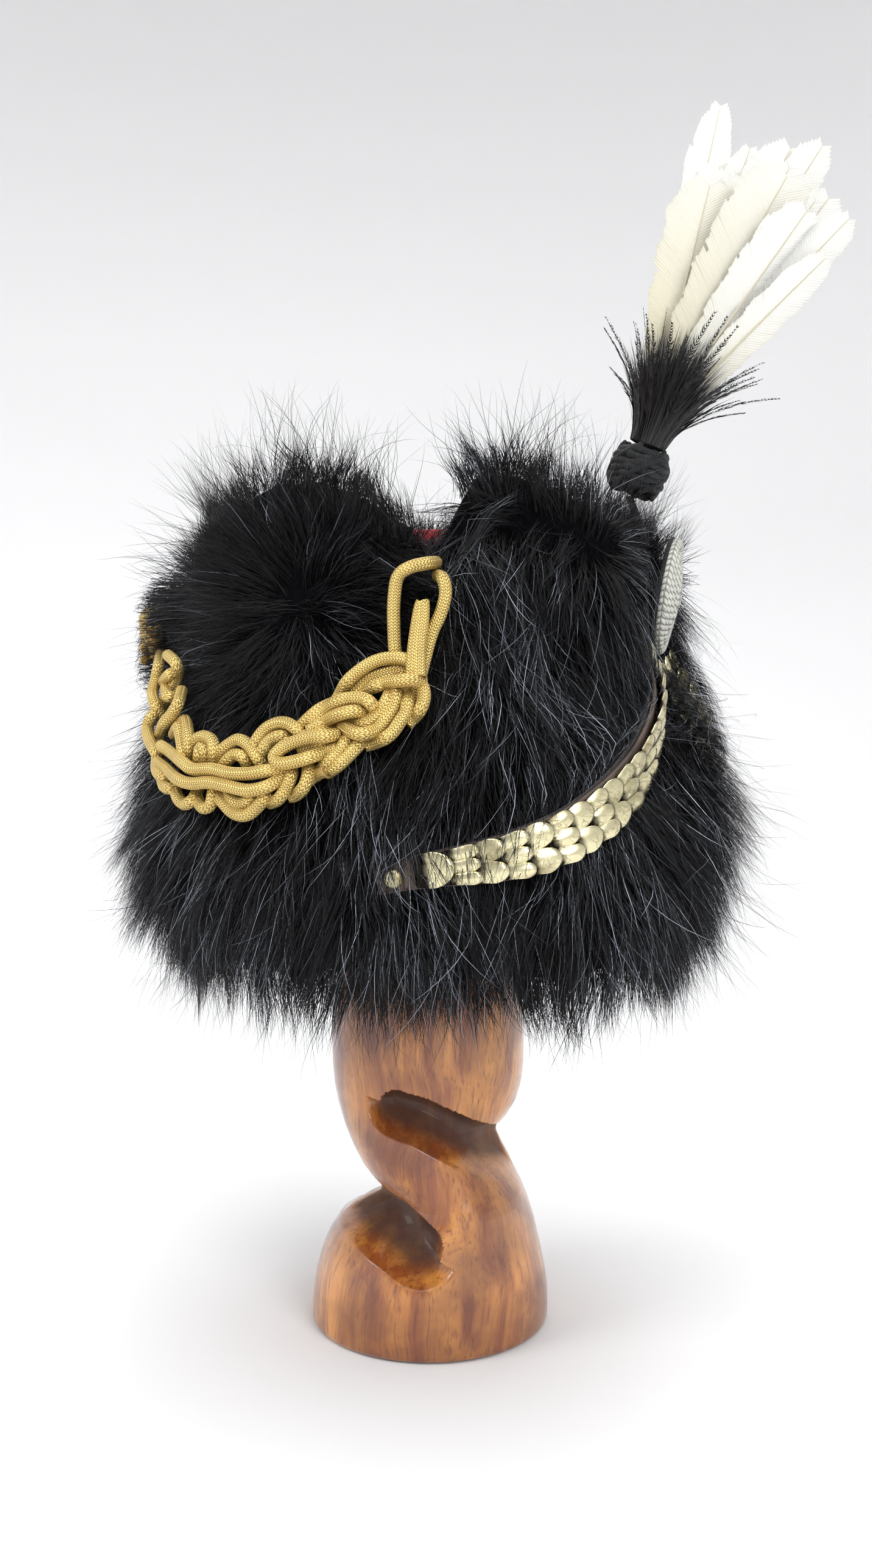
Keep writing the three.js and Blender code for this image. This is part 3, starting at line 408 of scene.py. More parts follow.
class Palette:
    """Wires the nodes of one material or of one shared group."""

    def __init__(self, tree: Tree, last: bpy.types.Node) -> None:
        """Starts on a tree.

        Args:
            tree: The node tree.
            last: The node that the others feed.
        """
        self.tree = tree
        self.last = last
        self.given: Any = None
        self.material: Any = None

    @staticmethod
    def paint(name: str, **constants: Any) -> "Palette":
        """Starts a material with a Principled shader.

        Args:
            name: The material's name.
            **constants: Values set on the shader, with _ for each space in a socket's name.

        Returns:
            Its palette.
        """
        material = bpy.data.materials.new(name)
        material.use_nodes = True
        palette = Palette(material.node_tree, material.node_tree.nodes["Principled BSDF"])
        palette.material = material
        for key, value in constants.items():
            palette.last.inputs[key.replace("_", " ")].default_value = value
        return palette

    @staticmethod
    def group(name: str, inputs: dict[str, float], outputs: Sequence[str]) -> "Palette":
        """Starts a shader node group whose first input is a vector.

        Args:
            name: The group's name.
            inputs: Each further input's name with its default number.
            outputs: Each output's name.

        Returns:
            Its palette.
        """
        tree = bpy.data.node_groups.new(name, "ShaderNodeTree")
        tree.interface.new_socket(name="Vector", in_out="INPUT", socket_type="NodeSocketVector")
        for key, value in inputs.items():
            socket = tree.interface.new_socket(name=key, in_out="INPUT", socket_type="NodeSocketFloat")
            socket.default_value = value
        for key in outputs:
            tree.interface.new_socket(name=key, in_out="OUTPUT", socket_type="NodeSocketFloat")
        palette = Palette(tree, tree.nodes.new("NodeGroupOutput"))
        palette.given = tree.nodes.new("NodeGroupInput").outputs
        return palette

    def put(self, kind: str, inputs: dict[str | int, Any] | None = None, **settings: Any) -> Any:
        """Adds a node and fills its sockets.

        Args:
            kind: The node's type after ShaderNode.
            inputs: Values or sockets for its inputs, by name or number.
            **settings: The node's settings.

        Returns:
            The node's outputs.
        """
        node = self.tree.nodes.new("ShaderNode" + kind)
        for key, value in settings.items():
            setattr(node, key, value)
        for key, value in (inputs or {}).items():
            if isinstance(value, bpy.types.NodeSocket):
                self.tree.links.new(value, node.inputs[key])
            else:
                node.inputs[key].default_value = value
        return node.outputs

    def feed(self, key: str | int, value: Socket) -> None:
        """Links a value to the last node."""
        self.tree.links.new(value, self.last.inputs[key])

    def math(self, operation: str, *values: Any) -> Socket:
        """The result of a math node on numbers or sockets."""
        return self.put("Math", dict(enumerate(values)), operation=operation)[0]

    def times(self, first: Any, second: Any) -> Socket:
        """One value times another."""
        return self.math("MULTIPLY", first, second)

    def mix(self, share: Any, first: Any, second: Any) -> Socket:
        """Two colours mixed, with a share of the second."""
        return self.put("Mix", {0: share, 6: first, 7: second}, data_type="RGBA")[2]

    def ramp(self, value: Socket, low: Any, high: Any) -> Socket:
        """A value stretched so that low becomes 0 and high becomes 1."""
        return self.put("MapRange", {"Value": value, "From Min": low, "From Max": high})[0]

    def noise(self, vector: Socket, scale: Any, detail: float) -> Any:
        """The outputs of a noise texture."""
        return self.put("TexNoise", {"Vector": vector, "Scale": scale, "Detail": detail})

    def stretched(self, vector: Socket, scale: Sequence[float], turn: Sequence[float] = (0, 0, 0)) -> Socket:
        """A vector turned and stretched."""
        return self.put("Mapping", {0: vector, 2: turn, 3: scale})[0]

    def effect(self, group: Tree, vector: Socket, **inputs: float) -> Any:
        """The outputs of a shared group."""
        return self.put("Group", {"Vector": vector, **inputs}, node_tree=group)

    def place(self) -> Socket:
        """The point on the object, in metres."""
        return self.put("TexCoord")["Object"]

    def strand(self) -> Socket:
        """The point along and round a strand."""
        return self.put("UVMap", uv_map="Strand")[0]

    def marked(self, name: str) -> Socket:
        """A number that the mesh carries."""
        return self.put("Attribute", attribute_name=name)["Fac"]

    def bump(self, height: Socket, strength: float, depth: float) -> None:
        """Drives the shader's normal with a bump.

        Args:
            height: The height.
            strength: How strongly it shows.
            depth: Its real depth in millimetres.
        """
        inputs = {"Height": height, "Strength": strength, "Distance": depth * MM}
        self.feed("Normal", self.put("Bump", inputs)[0])


class Effects:
    """Shader groups that more than one finish uses."""

    def __init__(self) -> None:
        """Builds each group once."""
        self.blotch = self._blotch()
        self.chevron = self._chevron()
        self.scratch = self._scratch()
        self.weave = self._weave()

    @staticmethod
    def _blotch() -> Tree:
        """Soft patches of one size with finer ones in them.

        Returns:
            The group.
        """
        wire = Palette.group("soft blotches", {"Scale": 60.0, "Contrast": 0.3}, ["Mask"])
        vector, scale, contrast = wire.given[:3]
        noise = wire.noise(vector, scale, 5.0)[0]
        low = wire.math("SUBTRACT", 0.5, contrast)
        wire.feed(0, wire.ramp(noise, low, wire.math("ADD", 0.5, contrast)))
        return wire.tree

    @staticmethod
    def _chevron() -> Tree:
        """Herringbone stitches along a cord, from its strand UV, with the share of painted shade in the
        grooves between them.

        Returns:
            The group.
        """
        inputs = {"Pitch": 1.2, "Columns": 4.0, "Slope": 1.3}
        wire = Palette.group("herringbone stitches", inputs, ["Height", "Groove"])
        vector, pitch, columns, slope = wire.given[:4]
        parts = wire.put("SeparateXYZ", {0: vector})
        column = wire.math("PINGPONG", wire.times(parts[1], columns), 0.5)
        along = wire.math("DIVIDE", parts[0], pitch)
        phase = wire.math("FRACT", wire.math("ADD", along, wire.times(column, slope)))
        arch = wire.math("SINE", wire.times(phase, math.pi))
        edge = wire.math("ABSOLUTE", wire.math("SUBTRACT", column, 0.25))
        height = wire.times(arch, wire.math("POWER", wire.ramp(edge, 0.25, 0.17), 0.5))
        wire.feed(0, height)
        # Groove: the share of painted shade in the low places between the stitches.
        wire.feed(1, wire.math("SUBTRACT", 1.0, wire.ramp(height, 0.1, 0.6)))
        return wire.tree

    @staticmethod
    def _scratch() -> Tree:
        """Fine scratches that run in many directions.

        Returns:
            The group.
        """
        wire = Palette.group("fine scratches", {"Scale": 90.0, "Width": 0.02}, ["Mask"])
        vector, scale, width = wire.given[:3]
        total = None
        for turn, stretch in ((0.5, 0.06), (1.7, 0.09), (2.6, 0.05)):
            turned = wire.stretched(vector, (1.0, stretch, 1.0), (turn, turn * 0.7, turn * 1.3))
            noise = wire.noise(turned, scale, 2.0)[0]
            line = wire.ramp(wire.math("ABSOLUTE", wire.math("SUBTRACT", noise, 0.5)), width, 0.0)
            total = line if total is None else wire.math("MAXIMUM", total, line)
        wire.feed(0, total)
        return wire.tree

    @staticmethod
    def _weave() -> Tree:
        """A plain weave seen from its threads.

        Returns:
            The group.
        """
        wire = Palette.group("plain weave", {"Scale": 900.0}, ["Height"])
        vector, scale = wire.given[:2]
        parts = wire.put("SeparateXYZ", {0: vector})
        waves = [wire.math("SINE", wire.times(wire.times(part, scale), 2 * math.pi)) for part in parts]
        wire.feed(0, wire.times(waves[0], wire.math("ADD", waves[1], waves[2])))
        return wire.tree


@dataclass(frozen=True)
class FurFinish:
    """Long fur: deep black hairs with painted shade towards the root, some of them painted silvery blue as
    highlight where the coat shines.
    """

    # The root colour is darker than the tip colour: painted shade deep in the coat.
    root: Color = (0.0008, 0.0008, 0.0012, 1.0)
    tip: Color = (0.0028, 0.0030, 0.0042, 1.0)
    # The silver colour is painted highlight on the hairs with the highest tones.
    silver: Color = (0.46, 0.50, 0.58, 1.0)
    painted_highlight_from: float = 0.58

    def build(self) -> Material:
        """Builds the material.

        Returns:
            The material.
        """
        wire = Palette.paint("Black fur", Specular_IOR_Level=0.17)
        tone, along, _ = wire.put("SeparateXYZ", {0: wire.strand()})
        # Painted highlight: the hairs with the highest tones turn silvery blue, with less of it towards the
        # root.
        high_tone_share = wire.math("POWER", wire.ramp(tone, self.painted_highlight_from, 1.0), 2.2)
        painted_highlight_share = wire.times(high_tone_share, wire.ramp(along, 0.1, 0.55))
        # Each hair runs from painted shade at its root to its tip colour, with the painted highlight mixed
        # over it.
        wire.feed("Base Color", wire.mix(painted_highlight_share, wire.mix(along, self.root, self.tip), self.silver))
        wire.feed("Roughness", wire.put("MapRange", {"Value": tone, "To Min": 0.5, "To Max": 0.26})[0])
        return wire.material


@dataclass(frozen=True)
class UnderFurFinish:
    """The dark mass under the long hairs."""

    dark: Color = (0.0008, 0.0008, 0.001, 1.0)
    light: Color = (0.003, 0.003, 0.004, 1.0)

    def build(self, effects: Effects) -> Material:
        """Builds the material with the shared groups.

        Args:
            effects: The shared groups.

        Returns:
            The material.
        """
        wire = Palette.paint("Under fur", Roughness=0.95, Specular_IOR_Level=0.05)
        drawn_out = wire.stretched(wire.place(), (1.0, 1.0, 0.18))
        patches = wire.effect(effects.blotch, drawn_out, Scale=420.0, Contrast=0.25)[0]
        wire.feed("Base Color", wire.mix(patches, self.dark, self.light))
        wire.bump(patches, 0.8, 1.5)
        return wire.material


@dataclass(frozen=True)
class CordFinish:
    """A cord covered in herringbone stitches, with painted shade in the grooves between them."""

    name: str
    bright: Color
    # The deep colour serves both for wear in the blotches and for painted shade in the grooves.
    deep: Color
    roughness: float
    metallic: float
    pitch: float
    columns: float
    depth: float = 0.35
    slope: float = 1.3

    def build(self, effects: Effects) -> Material:
        """Builds the material with the shared groups.

        Args:
            effects: The shared groups.

        Returns:
            The material.
        """
        wire = Palette.paint(self.name, Roughness=self.roughness, Metallic=self.metallic)
        sizes = {"Pitch": self.pitch, "Columns": self.columns, "Slope": self.slope}
        height, groove_shade = wire.effect(effects.chevron, wire.strand(), **sizes)
        worn = wire.effect(effects.blotch, wire.place(), Scale=130.0, Contrast=0.35)[0]
        tone = wire.mix(wire.times(worn, 0.35), self.bright, self.deep)
        # Painted shade: the grooves between the stitches turn to the deep colour.
        wire.feed("Base Color", wire.mix(wire.times(groove_shade, 0.85), tone, self.deep))
        wire.bump(height, 0.9, self.depth)
        return wire.material


@dataclass(frozen=True)
class BrassFinish:
    """Thin polished brass, scratched and a little tarnished, with painted shadow where the next scale covers
    it.
    """

    bright: Color = (0.72, 0.66, 0.42, 1.0)
    tarnish: Color = (0.15, 0.12, 0.055, 1.0)
    # The colour of the painted shadow under the next scale.
    painted_plate_shadow: Color = (0.010, 0.008, 0.006, 1.0)

    def build(self, effects: Effects) -> Material:
        """Builds the material with the shared groups.

        Args:
            effects: The shared groups.

        Returns:
            The material.
        """
        wire = Palette.paint("Scratched brass", Metallic=1.0, Roughness=0.25)
        place = wire.place()
        scratches = wire.effect(effects.scratch, place, Scale=160.0, Width=0.012)[0]
        dull = wire.ramp(wire.effect(effects.blotch, place, Scale=95.0, Contrast=0.16)[0], 0.5, 1.0)
        tone = wire.mix(wire.times(dull, 0.7), self.bright, self.tarnish)
        scored = wire.mix(wire.times(scratches, 0.55), tone, self.tarnish)
        # Painted shadow: the part of each scale that the next one covers turns dark.
        wire.feed("Base Color", wire.mix(wire.marked("painted_plate_shadow"), scored, self.painted_plate_shadow))
        rough = wire.math("ADD", 0.2, wire.times(dull, 0.2))
        wire.feed("Roughness", wire.math("ADD", rough, wire.times(scratches, 0.25)))
        wire.bump(wire.math("SUBTRACT", 1.0, scratches), 0.35, 0.05)
        return wire.material


@dataclass(frozen=True)
class WoodFinish:
    """Varnished brown wood with an upright grain, reddish blotches and painted shade in the carved hollows.
    """

    light: Color = (0.66, 0.265, 0.050, 1.0)
    brown: Color = (0.28, 0.073, 0.013, 1.0)
    red: Color = (0.10, 0.018, 0.007, 1.0)
    # The dark colour is painted shade in the carved hollows.
    dark: Color = (0.040, 0.018, 0.011, 1.0)

    def build(self, effects: Effects) -> Material:
        """Builds the material with the shared groups.

        Args:
            effects: The shared groups.

        Returns:
            The material.
        """
        wire = Palette.paint("Varnished wood", Roughness=0.3, Coat_Weight=0.8, Coat_Roughness=0.07)
        place = wire.place()
        drift = wire.noise(place, 14.0, 2.0)[1]
        shifted = wire.put("VectorMath", {0: drift, 1: (0.03, 0.03, 0.03)}, operation="MULTIPLY")[0]
        bent = wire.put("VectorMath", {0: place, 1: shifted})[0]
        grain = wire.ramp(wire.noise(wire.stretched(bent, (1.0, 1.0, 0.06)), 90.0, 6.0)[0], 0.41, 0.60)
        pore = wire.ramp(wire.noise(wire.stretched(bent, (1.0, 1.0, 0.035)), 900.0, 3.0)[0], 0.52, 0.7)
        patches = wire.effect(effects.blotch, bent, Scale=34.0, Contrast=0.12)[0]
        ruddy = wire.mix(wire.times(patches, 0.68), wire.mix(grain, self.light, self.brown), self.red)
        pored = wire.mix(wire.times(pore, 0.6), ruddy, self.red)
        # Painted shade: the hollow mark darkens the carved hollows.
        hollow = wire.marked("hollow")
        wire.feed("Base Color", wire.mix(wire.times(hollow, 0.82), pored, self.dark))
        rough = wire.math("ADD", 0.3, wire.times(patches, 0.15))
        wire.feed("Roughness", wire.math("ADD", rough, wire.times(hollow, 0.3)))
        wire.feed("Coat Weight", wire.math("SUBTRACT", 0.8, wire.times(hollow, 0.6)))
        wire.bump(wire.math("SUBTRACT", 1.0, pore), 0.25, 0.15)
        return wire.material


@dataclass(frozen=True)
class ClothFinish:
    """Woollen or stiffened cloth with a visible weave."""

    name: str
    color: Color
    shade: Color
    threads: float = 700.0
    sheen: float = 0.3

    def build(self, effects: Effects) -> Material:
        """Builds the material with the shared groups.

        Args:
            effects: The shared groups.

        Returns:
            The material.
        """
        wire = Palette.paint(self.name, Roughness=0.92, Sheen_Weight=self.sheen, Sheen_Roughness=0.5)
        place = wire.place()
        patches = wire.effect(effects.blotch, place, Scale=240.0, Contrast=0.3)[0]
        wire.feed("Base Color", wire.mix(patches, self.color, self.shade))
        wire.bump(wire.effect(effects.weave, place, Scale=self.threads)[0], 0.5, 0.2)
        return wire.material


@dataclass(frozen=True)
class LeatherFinish:
    """Tan strap leather with a fine grain and darker wear."""

    tan: Color = (0.14, 0.10, 0.078, 1.0)
    worn: Color = (0.05, 0.035, 0.028, 1.0)

    def build(self, effects: Effects) -> Material:
        """Builds the material with the shared groups.

        Args:
            effects: The shared groups.

        Returns:
            The material.
        """
        wire = Palette.paint("Tan leather", Roughness=0.6)
        place = wire.place()
        patches = wire.effect(effects.blotch, place, Scale=150.0, Contrast=0.3)[0]
        wire.feed("Base Color", wire.mix(patches, self.tan, self.worn))
        wire.bump(wire.put("TexVoronoi", {"Vector": place, "Scale": 1300.0})[0], 0.4, 0.12)
        return wire.material


@dataclass(frozen=True)
class FeatherFinish:
    """A feather: creamy at the quill, with fine barbs along the vane."""

    name: str
    tip: Color
    base: Color
    roughness: float = 0.65
    barbs: float = 1.1
    light_through: float = 0.0

    def build(self) -> Material:
        """Builds the material.

        Returns:
            The material.
        """
        light = {"Subsurface_Weight": self.light_through, "Subsurface_Scale": 0.004}
        light["Subsurface_Radius"] = (1.0, 0.97, 0.9)
        wire = Palette.paint(self.name, Roughness=self.roughness, **light)
        parts = wire.put("SeparateXYZ", {0: wire.strand()})
        tone = wire.mix(parts[1], self.base, self.tip)
        lines = wire.math("SINE", wire.times(wire.math("DIVIDE", parts[0], self.barbs), 2 * math.pi))
        shade = wire.ramp(lines, 1.6, -1.0)
        wire.feed("Base Color", wire.mix(wire.times(shade, 0.22), tone, self.base))
        wire.bump(lines, 0.35, 0.12)
        return wire.material


class Wardrobe:
    """Every material of the busby, built once."""

    def __init__(self) -> None:
        """Builds the shared groups and the materials."""
        effects = Effects()
        self.fur = FurFinish().build()
        self.under_fur = UnderFurFinish().build(effects)
        gilt = (0.93, 0.70, 0.24, 1), (0.16, 0.070, 0.010, 1)
        self.gilt = CordFinish("Gilt cord", *gilt, 0.33, 0.6, 1.1, 9.0, 0.3).build(effects)
        silver = (0.66, 0.66, 0.60, 1), (0.13, 0.13, 0.11, 1)
        self.silver = CordFinish("Silver-white cord", *silver, 0.6, 0.1, 2.4, 1.0, 0.5, 2.6).build(effects)
        black = (0.005, 0.007, 0.008, 1), (0.002, 0.002, 0.003, 1)
        self.black_cord = CordFinish("Black cord", *black, 0.6, 0.0, 0.9, 6.0).build(effects)
        self.brass = BrassFinish().build(effects)
        self.wood = WoodFinish().build(effects)
        red = (0.50, 0.035, 0.045, 1), (0.33, 0.015, 0.022, 1)
        self.red_cloth = ClothFinish("Red woollen cloth", *red).build(effects)
        lining = (0.06, 0.05, 0.05, 1), (0.025, 0.02, 0.022, 1)
        self.lining = ClothFinish("Dark lining", *lining, 900.0).build(effects)
        shell = (0.022, 0.021, 0.022, 1), (0.010, 0.010, 0.011, 1)
        self.shell = ClothFinish("Black stiffened cloth", *shell, 500.0).build(effects)
        self.leather = LeatherFinish().build(effects)
        white = (0.84, 0.84, 0.81, 1), (0.68, 0.64, 0.49, 1)
        self.feather = FeatherFinish("White feather", *white, light_through=0.4).build()
        quill = (0.66, 0.62, 0.50, 1), (0.55, 0.50, 0.36, 1)
        self.quill = FeatherFinish("Feather quill", *quill).build()
        hackle = (0.004, 0.004, 0.005, 1), (0.0015, 0.0015, 0.002, 1)
        self.hackle = FeatherFinish("Black hackle", *hackle, 0.45).build()
        pale = (0.91, 0.91, 0.915, 1.0)
        self.backdrop = Palette.paint("Pale backdrop", Base_Color=pale, Roughness=0.85).material


# Paths and strands


@dataclass
class Path:
    """A line in space with the ways ahead, out and across at each place."""

    place: Array
    ahead: Array
    out: Array
    across: Array
    along: Array

    @staticmethod
    def through(points: Array, outwards: Array, step: float) -> "Path":
        """Runs a smooth line through points.

        Args:
            points: The points that it passes through.
            outwards: The way out at each point.
            step: The distance between places on it.

        Returns:
            The path.
        """
        fine = Path._spline(points, 24)
        facing = Path._spline(outwards, 24)
        lengths = np.concatenate([[0.0], np.cumsum(np.linalg.norm(np.diff(fine, axis=0), axis=1))])
        count = max(int(round(lengths[-1] / step)), 2)
        along = np.linspace(0, lengths[-1], count + 1)
        place = np.stack([np.interp(along, lengths, fine[:, axis]) for axis in range(3)], 1)
        out = np.stack([np.interp(along, lengths, facing[:, axis]) for axis in range(3)], 1)
        ahead = unit(np.gradient(place, axis=0))
        out = unit(out - ahead * np.sum(out * ahead, axis=1, keepdims=True))
        return Path(place, ahead, out, unit(np.cross(ahead, out)), along)

    @staticmethod
    def _spline(points: Array, steps: int) -> Array:
        """A Catmull-Rom curve through points.

        Args:
            points: The points.
            steps: Steps between two of them.

        Returns:
            The points of the curve.
        """
        points = np.asarray(points, float)
        first = 2 * points[0] - points[1]
        last = 2 * points[-1] - points[-2]
        rows = np.vstack([first, points, last])
        share = np.linspace(0, 1, steps, endpoint=False)[:, None]
        parts = []
        for a, b, c, d in zip(rows[:-3], rows[1:-2], rows[2:-1], rows[3:]):
            cubic = -a + 3 * b - 3 * c + d
            square = 2 * a - 5 * b + 4 * c - d
            parts.append(0.5 * (2 * b + (c - a) * share + square * share**2 + cubic * share**3))
        return np.vstack([*parts, points[-1:]])

    def at(self, across: Array | float, out: Array | float) -> Array:
        """Points set off from the path.

        Args:
            across: How far across.
            out: How far out.

        Returns:
            One point for each place.
        """
        across = np.broadcast_to(across, len(self.place))[:, None]
        out = np.broadcast_to(out, len(self.place))[:, None]
        return self.place + self.across * across + self.out * out

    def mirrored(self) -> "Path":
        """The same path on the wearer's other side.

        Returns:
            The path.
        """
        return Path(
            mirrored(self.place), mirrored(self.ahead), mirrored(self.out), -mirrored(self.across), self.along
        )


def cord(heap: MeshHeap, line: Array, radius: Array | float, sides: int = 10, closed: bool = False) -> None:
    """Adds a round cord along a line.

    Args:
        heap: Where it goes.
        line: The middle line, one point every millimetre or so.
        radius: The cord's radius, or one for each point.
        sides: How many sides it has.
        closed: Whether its end joins its start.
    """
    count = len(line)
    if closed:
        ahead = unit(np.roll(line, -1, axis=0) - np.roll(line, 1, axis=0))
    else:
        ahead = unit(np.gradient(line, axis=0))
    side = np.zeros_like(line)
    start = np.array([0.0, 0.0, 1.0]) if abs(ahead[0, 2]) < 0.9 else np.array([1.0, 0.0, 0.0])
    side[0] = unit(start - ahead[0] * np.dot(start, ahead[0]))
    for number in range(1, count):
        carried = side[number - 1] - ahead[number] * np.dot(side[number - 1], ahead[number])
        side[number] = unit(carried)
    other = np.cross(ahead, side)
    reach = np.broadcast_to(radius, count)[:, None, None]
    angle = np.linspace(0, 2 * math.pi, sides, endpoint=False)
    ring = side[:, None] * np.cos(angle)[None, :, None] + other[:, None] * np.sin(angle)[None, :, None]
    points = (line[:, None] + ring * reach).reshape(-1, 3)
    rows = np.arange(count if closed else count - 1)[:, None]
    columns = np.arange(sides)[None, :]
    quads = tube_faces(count, sides, closed)
    steps = np.linalg.norm(np.diff(line, axis=0, append=line[:1]), axis=1)
    along = np.concatenate([[0.0], np.cumsum(steps)])
    low = along[rows] + 0 * columns
    high = along[rows + 1] + 0 * columns
    left = columns / sides + 0 * rows
    right = (columns + 1) / sides + 0 * rows
    quad_uvs = np.stack(
        [np.stack(pair, -1) for pair in ((low, left), (low, right), (high, right), (high, left))], -2
    ).reshape(-1, 4, 2)
    caps = None
    if not closed:
        ends = np.arange(1, sides - 1)
        first = stack(0 * ends, ends + 1, ends)
        top = (count - 1) * sides
        last = stack(top + 0 * ends, top + ends, top + ends + 1)
        caps = np.concatenate([first, last])
    heap.add(points, quads, quad_uvs, caps)


@dataclass
class Strands:
    """Many thin hairs as tapering ribbons."""

    width: float
    seed: int

    def ribbons(self, hairs: Array, outward: Array, tones: Array | None = None) -> MeshHeap:
        """Turns lines of points into ribbons.

        Args:
            hairs: One row of points for each hair.
            outward: The way each ribbon faces.
            tones: A number between 0 and 1 for each hair, for its colour.

        Returns:
            The ribbons.
        """
        heap = MeshHeap()
        count, rows, _ = hairs.shape
        rng = np.random.default_rng(self.seed)
        ahead = unit(np.gradient(hairs, axis=1))
        side = unit(np.cross(ahead, outward[:, None]))
        facing = unit(np.cross(side, ahead))
        twist = rng.uniform(-0.7, 0.7, count)[:, None, None]
        side = side * np.cos(twist) + facing * np.sin(twist)
        share = np.linspace(0, 1, rows)
        taper = (1 - 0.9 * share**1.6) * self.width / 2
        reach = side * (taper[None, :, None] * rng.uniform(0.7, 1.25, count)[:, None, None])
        left = hairs[:, :-1] - reach[:, :-1]
        right = hairs[:, :-1] + reach[:, :-1]
        tip = hairs[:, -1:]
        block = np.concatenate([left, right, tip], axis=1)
        size = 2 * (rows - 1) + 1
        base = (np.arange(count) * size)[:, None]
        low = np.arange(rows - 2)[None, :]
        quads = stack(base + low, base + rows - 1 + low, base + rows + low, base + low + 1).reshape(-1, 4)
        ends = stack(base + rows - 2, base + 2 * rows - 3, base + 2 * rows - 2).reshape(-1, 3)
        tones = rng.uniform(0, 1, count) if tones is None else tones
        tone = np.broadcast_to(tones[:, None], (count, rows - 2))
        start = np.broadcast_to(share[None, :-2], tone.shape)
        stop = np.broadcast_to(share[None, 1:-1], tone.shape)
        quad_uvs = np.stack(
            [stack(tone, edge) for edge in (start, start, stop, stop)], -2
        ).reshape(-1, 4, 2)
        last = np.stack([stack(tones, np.full(count, edge)) for edge in (share[-2], share[-2], 1.0)], -2)
        heap.add(block.reshape(-1, 3), quads, quad_uvs, ends, last)
        return heap


def bent_hairs(
    root: Array, first: Array, last: Array, length: Array, steps: int, wave: Array, side: Array
) -> Array:
    """Bends hairs from one direction to another.

    Args:
        root: Where each starts.
        first: Its first direction.
        last: Its last direction.
        length: Its length.
        steps: How many steps it takes.
        wave: How far it sways, how often and from where.
        side: The way it sways.

    Returns:
        One row of points for each hair.
    """
    share = np.linspace(0, 1, steps + 1)
    turn = share[None, :, None] ** 0.8
    ahead = unit(first[:, None] * (1 - turn) + last[:, None] * turn)
    stride = ahead[:, :-1] * (length / steps)[:, None, None]
    points = np.concatenate([root[:, None], root[:, None] + np.cumsum(stride, axis=1)], axis=1)
    sway = wave[:, 0:1] * share * np.sin(2 * math.pi * (wave[:, 1:2] * share + wave[:, 2:3]))
    return points + side[:, None] * sway[:, :, None]


def ripple(turn: Array, height: Array, seed: float) -> Array:
    """A smooth, repeatable wave over the coat, between about -1 and 1.

    Args:
        turn: Turns in degrees.
        height: Heights in millimetres.
        seed: Tells one wave from another.

    Returns:
        The wave's value at each place.
    """
    total = np.zeros_like(np.asarray(turn, float))
    for number in range(1, 5):
        phase = seed * 2.4 * number
        around = np.round(2 + 3.1 * number + (seed % 3))
        upward = 0.016 * number * (1 + 0.3 * math.sin(seed + number))
        total += np.sin(np.radians(turn) * around + height * upward * (-1) ** number * 3 + phase) / number
    return total / 1.6


# The cap's fur


